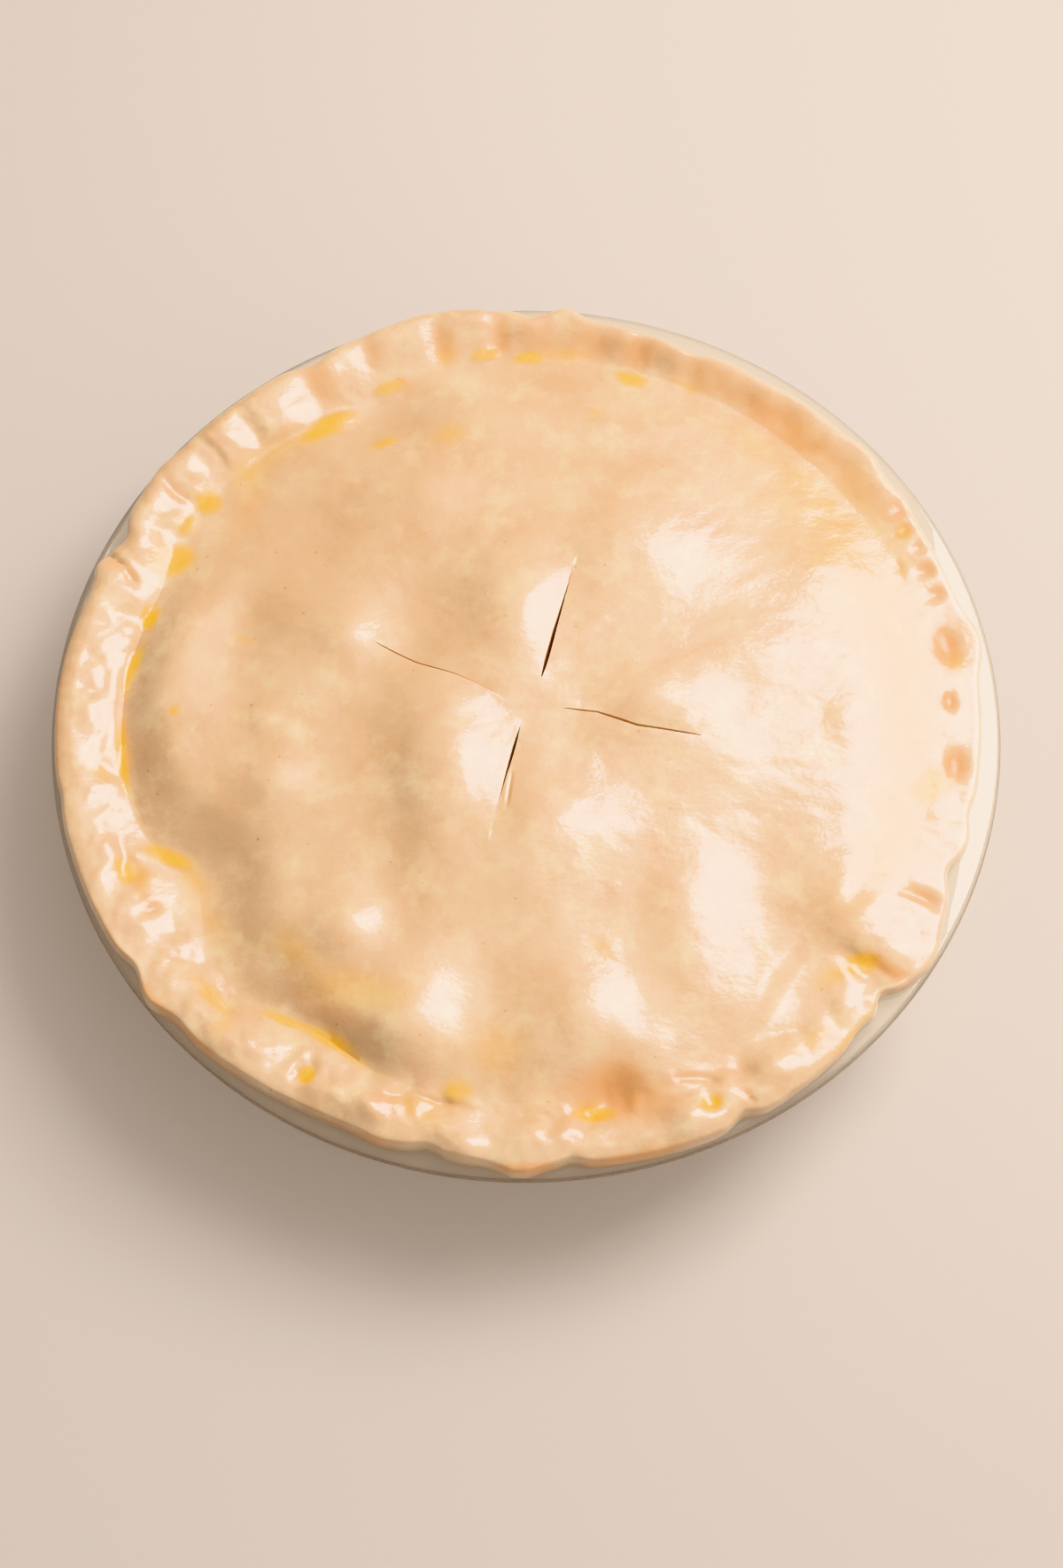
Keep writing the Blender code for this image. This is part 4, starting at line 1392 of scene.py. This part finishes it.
    def blade(self, vent: Vent) -> bpy.types.Object:
        """An upright blade along a vent.

        Its width is a half sine wave of the share of the way, raised to a power that puts
        the middle of the wave where the vent is widest, and then to its taper.

        Args:
            vent: The cut that it makes.

        Returns:
            The blade.
        """
        corners = np.array(vent.path)
        lengths = np.concatenate([[0.0], np.cumsum(np.linalg.norm(np.diff(corners, axis=0),
                                                                  axis=1))])
        share = np.linspace(0.0, 1.0, self.vent_steps + 1)
        line = np.stack([np.interp(share * lengths[-1], lengths, corners[:, column])
                         for column in (0, 1)], -1)
        run = np.gradient(line, axis=0)
        run /= np.linalg.norm(run, axis=1, keepdims=True)
        across = np.stack([-run[:, 1], run[:, 0]], -1)
        wave = np.sin(share ** (math.log(0.5) / math.log(vent.widest)) * np.pi)
        half = (vent.width / 2.0 * np.maximum(wave, 0.0) ** vent.taper)[:, None]
        ring = np.concatenate([line - across * half, (line + across * half)[-2:0:-1]])
        count = len(ring)
        points = np.concatenate([np.column_stack([ring, np.full(count, level)])
                                 for level in (self.vent_bottom, self.vent_top)])
        low = np.arange(count)
        sides = np.stack([low, np.roll(low, -1), np.roll(low, -1) + count, low + count], -1)
        return build_object(f"{vent.name}_blade", points,
                            [sides, low[None, ::-1], (low + count)[None, :]])

    def cut_vents(self, crust: bpy.types.Object) -> None:
        """Cut the four vents and keep the result as plain mesh.

        Args:
            crust: The whole dough, changed in place.
        """
        blades = [self.blade(vent) for vent in self.relief.vents]
        for blade in blades:
            cut = crust.modifiers.new(blade.name, "BOOLEAN")
            cut.operation, cut.object, cut.solver = "DIFFERENCE", blade, "MANIFOLD"
        evaluated = crust.evaluated_get(bpy.context.evaluated_depsgraph_get())
        whole = bpy.data.meshes.new_from_object(evaluated)
        crust.modifiers.clear()
        old, crust.data = crust.data, whole
        bpy.data.meshes.remove(old)
        for blade in blades:
            bpy.data.objects.remove(blade)

    def dress(self, crust: bpy.types.Object) -> None:
        """Egg wash with its painted shade and painted highlight on the upper face, plain dough in
        the cuts and below, and soft shading.

        Args:
            crust: The whole dough, cut.
        """
        mesh, relief = crust.data, self.relief
        mesh.materials.clear()
        for finish in (self.washed, self.plain):
            mesh.materials.append(finish.build())
        at = Places.under(read_points(mesh.vertices, "co"))
        # egg is the wash's yellow; the others are egg sunk in with painted orange shade, painted
        # shade on the lid and a painted highlight on the rim's outer edge
        for name, amount in (("egg", relief.yellow), ("soaked_and_shaded", relief.soak_and_shade),
                             ("thin", relief.thin), ("pale", relief.pale)):
            made = mesh.attributes.new(name, "FLOAT", "POINT")
            made.data.foreach_set("value", amount(at).astype(np.float32))
        middles = read_points(mesh.polygons, "center")
        at = Places.under(middles)
        deep = relief.height(at) - middles[:, 2] > self.wall_depth
        cut = deep & (at.radius < self.edge_start(at.angle))
        unwashed = cut | (middles[:, 2] < self.seat + self.underside)
        mesh.polygons.foreach_set("material_index", unwashed.astype(np.int32))
        mesh.shade_smooth()
        mesh.set_sharp_from_angle(angle=math.radians(self.sharp_angle))

    def build(self) -> bpy.types.Object:
        """Make the dough with its room, cut the vents and dress it.

        Returns:
            The dough.
        """
        room = self.room_skin(self.gap + self.lining, self.lid, self.hidden_segments)
        crust = skins_to_object("brushed_raw_crust", [self.outer_skin(), room.inside_out()])
        self.cut_vents(crust)
        self.dress(crust)
        return crust


@dataclass
class BeefFilling:
    """Stewed beef and gravy that fill the room in the dough."""

    crust: PastryCrust
    clearance: float = 0.75
    segments: int = 240
    finish: BeefGravy = BeefGravy()

    def build(self) -> bpy.types.Object:
        """Fill the room with its own shape, a little below the lid.

        Returns:
            The filling.
        """
        skin = self.crust.room_skin(2.0 * self.crust.gap + self.crust.lining,
                                    self.crust.lid + self.clearance, self.segments)
        made = skins_to_object("stewed_beef", [skin])
        made.data.materials.append(self.finish.build())
        return made


# ---------------------------------------------------------------- the studio


@dataclass
class Studio:
    """Pale floor, one big soft window light, even light all round and the camera."""

    floor_size: float = 6000.0
    target: tuple[float, float, float] = (1.344, -17.849, 37.0)
    distance: float = 781.085
    elevation: float = 67.516
    roll: float = -0.321
    lens: float = 70.0
    sensor: float = 36.0
    nearest: float = 10.0
    window_direction: tuple[float, float, float] = (0.48, 0.35, 0.80)
    window_distance: float = 1000.0
    window_half: tuple[float, float] = (0.24, 0.26)
    window_radiance: float = 13.0
    window_tint: str = "#FFFCFB"
    sky_direction: tuple[float, float, float] = (0.80, 0.00, 0.45)
    sky_span: tuple[float, float] = (-0.3, 1.0)
    sky_strength: tuple[float, float] = (0.22, 0.95)
    glow_direction: tuple[float, float, float] = (0.35, 0.38, 0.86)
    glow_span: tuple[float, float] = (0.89, 0.975)
    glow_strength: tuple[float, float] = (0.0, 1.2)
    sky_tint: str = "#FFFBF6"
    floor: StudioFloor = StudioFloor()

    def add_floor(self) -> None:
        """A flat square floor, not part of the object."""
        half = self.floor_size / 2.0
        points = np.array([[-half, -half, 0], [half, -half, 0], [half, half, 0], [-half, half, 0]])
        made = build_object("floor", points, [np.array([[0, 1, 2, 3]])])
        made.data.materials.append(self.floor.build())

    def add_lights(self) -> None:
        """The window light, aimed at the pie, and the light all round.

        The sky's strength is eased up with the cosine of the angle to a direction, once
        broadly towards the window's side and once narrowly round the window.
        """
        aim = Vector(self.window_direction).normalized()
        light = bpy.data.lights.new("window", "AREA")
        light.shape = "RECTANGLE"
        light.size = 2.0 * self.window_half[0] * self.window_distance * MM
        light.size_y = 2.0 * self.window_half[1] * self.window_distance * MM
        light.energy = self.window_radiance * math.pi * light.size * light.size_y
        light.color = linear(self.window_tint)[:3]
        lamp = bpy.data.objects.new("window", light)
        lamp.matrix_world = (Matrix.Translation(aim * self.window_distance * MM)
                             @ aim.to_track_quat("Z", "Y").to_matrix().to_4x4())
        bpy.context.scene.collection.objects.link(lamp)
        world = bpy.data.worlds.new("soft_light")
        world.use_nodes = True
        sky = world.node_tree.nodes["Background"]
        sky.inputs["Color"].default_value = linear(self.sky_tint)
        ray = add_node(world.node_tree, "ShaderNodeTexCoord").outputs["Generated"]
        parts = []
        for direction, (start, end), (low, high) in (
                (self.sky_direction, self.sky_span, self.sky_strength),
                (self.glow_direction, self.glow_span, self.glow_strength)):
            cosine = add_node(world.node_tree, "ShaderNodeVectorMath",
                              {"operation": "DOT_PRODUCT", 1: Vector(direction).normalized()},
                              {0: ray})
            eased = add_node(world.node_tree, "ShaderNodeMapRange",
                             {"interpolation_type": "SMOOTHSTEP", "From Min": start,
                              "From Max": end, "To Min": low, "To Max": high},
                             {"Value": cosine.outputs["Value"]})
            parts.append(eased.outputs["Result"])
        total = add_node(world.node_tree, "ShaderNodeMath", {"operation": "ADD"},
                         {0: parts[0], 1: parts[1]})
        world.node_tree.links.new(total.outputs[0], sky.inputs["Strength"])
        bpy.context.scene.world = world

    def add_camera(self) -> None:
        """The camera, looking down and away from the near side."""
        tilt, roll = math.radians(self.elevation), math.radians(self.roll)
        forward = Vector((0.0, math.cos(tilt), -math.sin(tilt)))
        right = Vector((1.0, 0.0, 0.0))
        up = right.cross(forward)
        right, up = (right * math.cos(roll) + up * math.sin(roll),
                     up * math.cos(roll) - right * math.sin(roll))
        place = (Vector(self.target) - forward * self.distance) * MM
        camera = bpy.data.objects.new("camera", bpy.data.cameras.new("camera"))
        camera.data.lens = self.lens
        camera.data.sensor_width = self.sensor
        camera.data.clip_start = self.nearest * MM
        turned = Matrix((right, up, -forward)).transposed().to_4x4()
        camera.matrix_world = Matrix.Translation(place) @ turned
        bpy.context.scene.collection.objects.link(camera)
        bpy.context.scene.camera = camera

    def build(self) -> None:
        """Set up the whole studio."""
        self.add_floor()
        self.add_lights()
        self.add_camera()
        bpy.context.scene.view_settings.view_transform = "Khronos PBR Neutral"


def show(piece: bpy.types.Object, node: CadNode) -> None:
    """Put a piece in the place of its solid and report it.

    Args:
        piece: The dressed piece.
        node: The solid it stands for.
    """
    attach(piece, BODY)
    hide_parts(node.value)
    faces = sum(face.loop_total - 2 for face in piece.data.polygons)
    LOG.info("%s stands for %s, %d triangles", piece.name, node.value, faces)


def main() -> None:
    """Build the studio and the pieces, from the dish to the dough."""
    logging.basicConfig(level=logging.INFO, format="%(name)s: %(message)s")
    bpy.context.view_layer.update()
    Studio().build()
    dish = GlassDish()
    crust = PastryCrust(dish, DoughRelief())
    show(dish.build(), CadNode.DISH)
    show(BeefFilling(crust).build(), CadNode.FILLING)
    show(crust.build(), CadNode.CRUST)


if __name__ == "__main__":
    main()
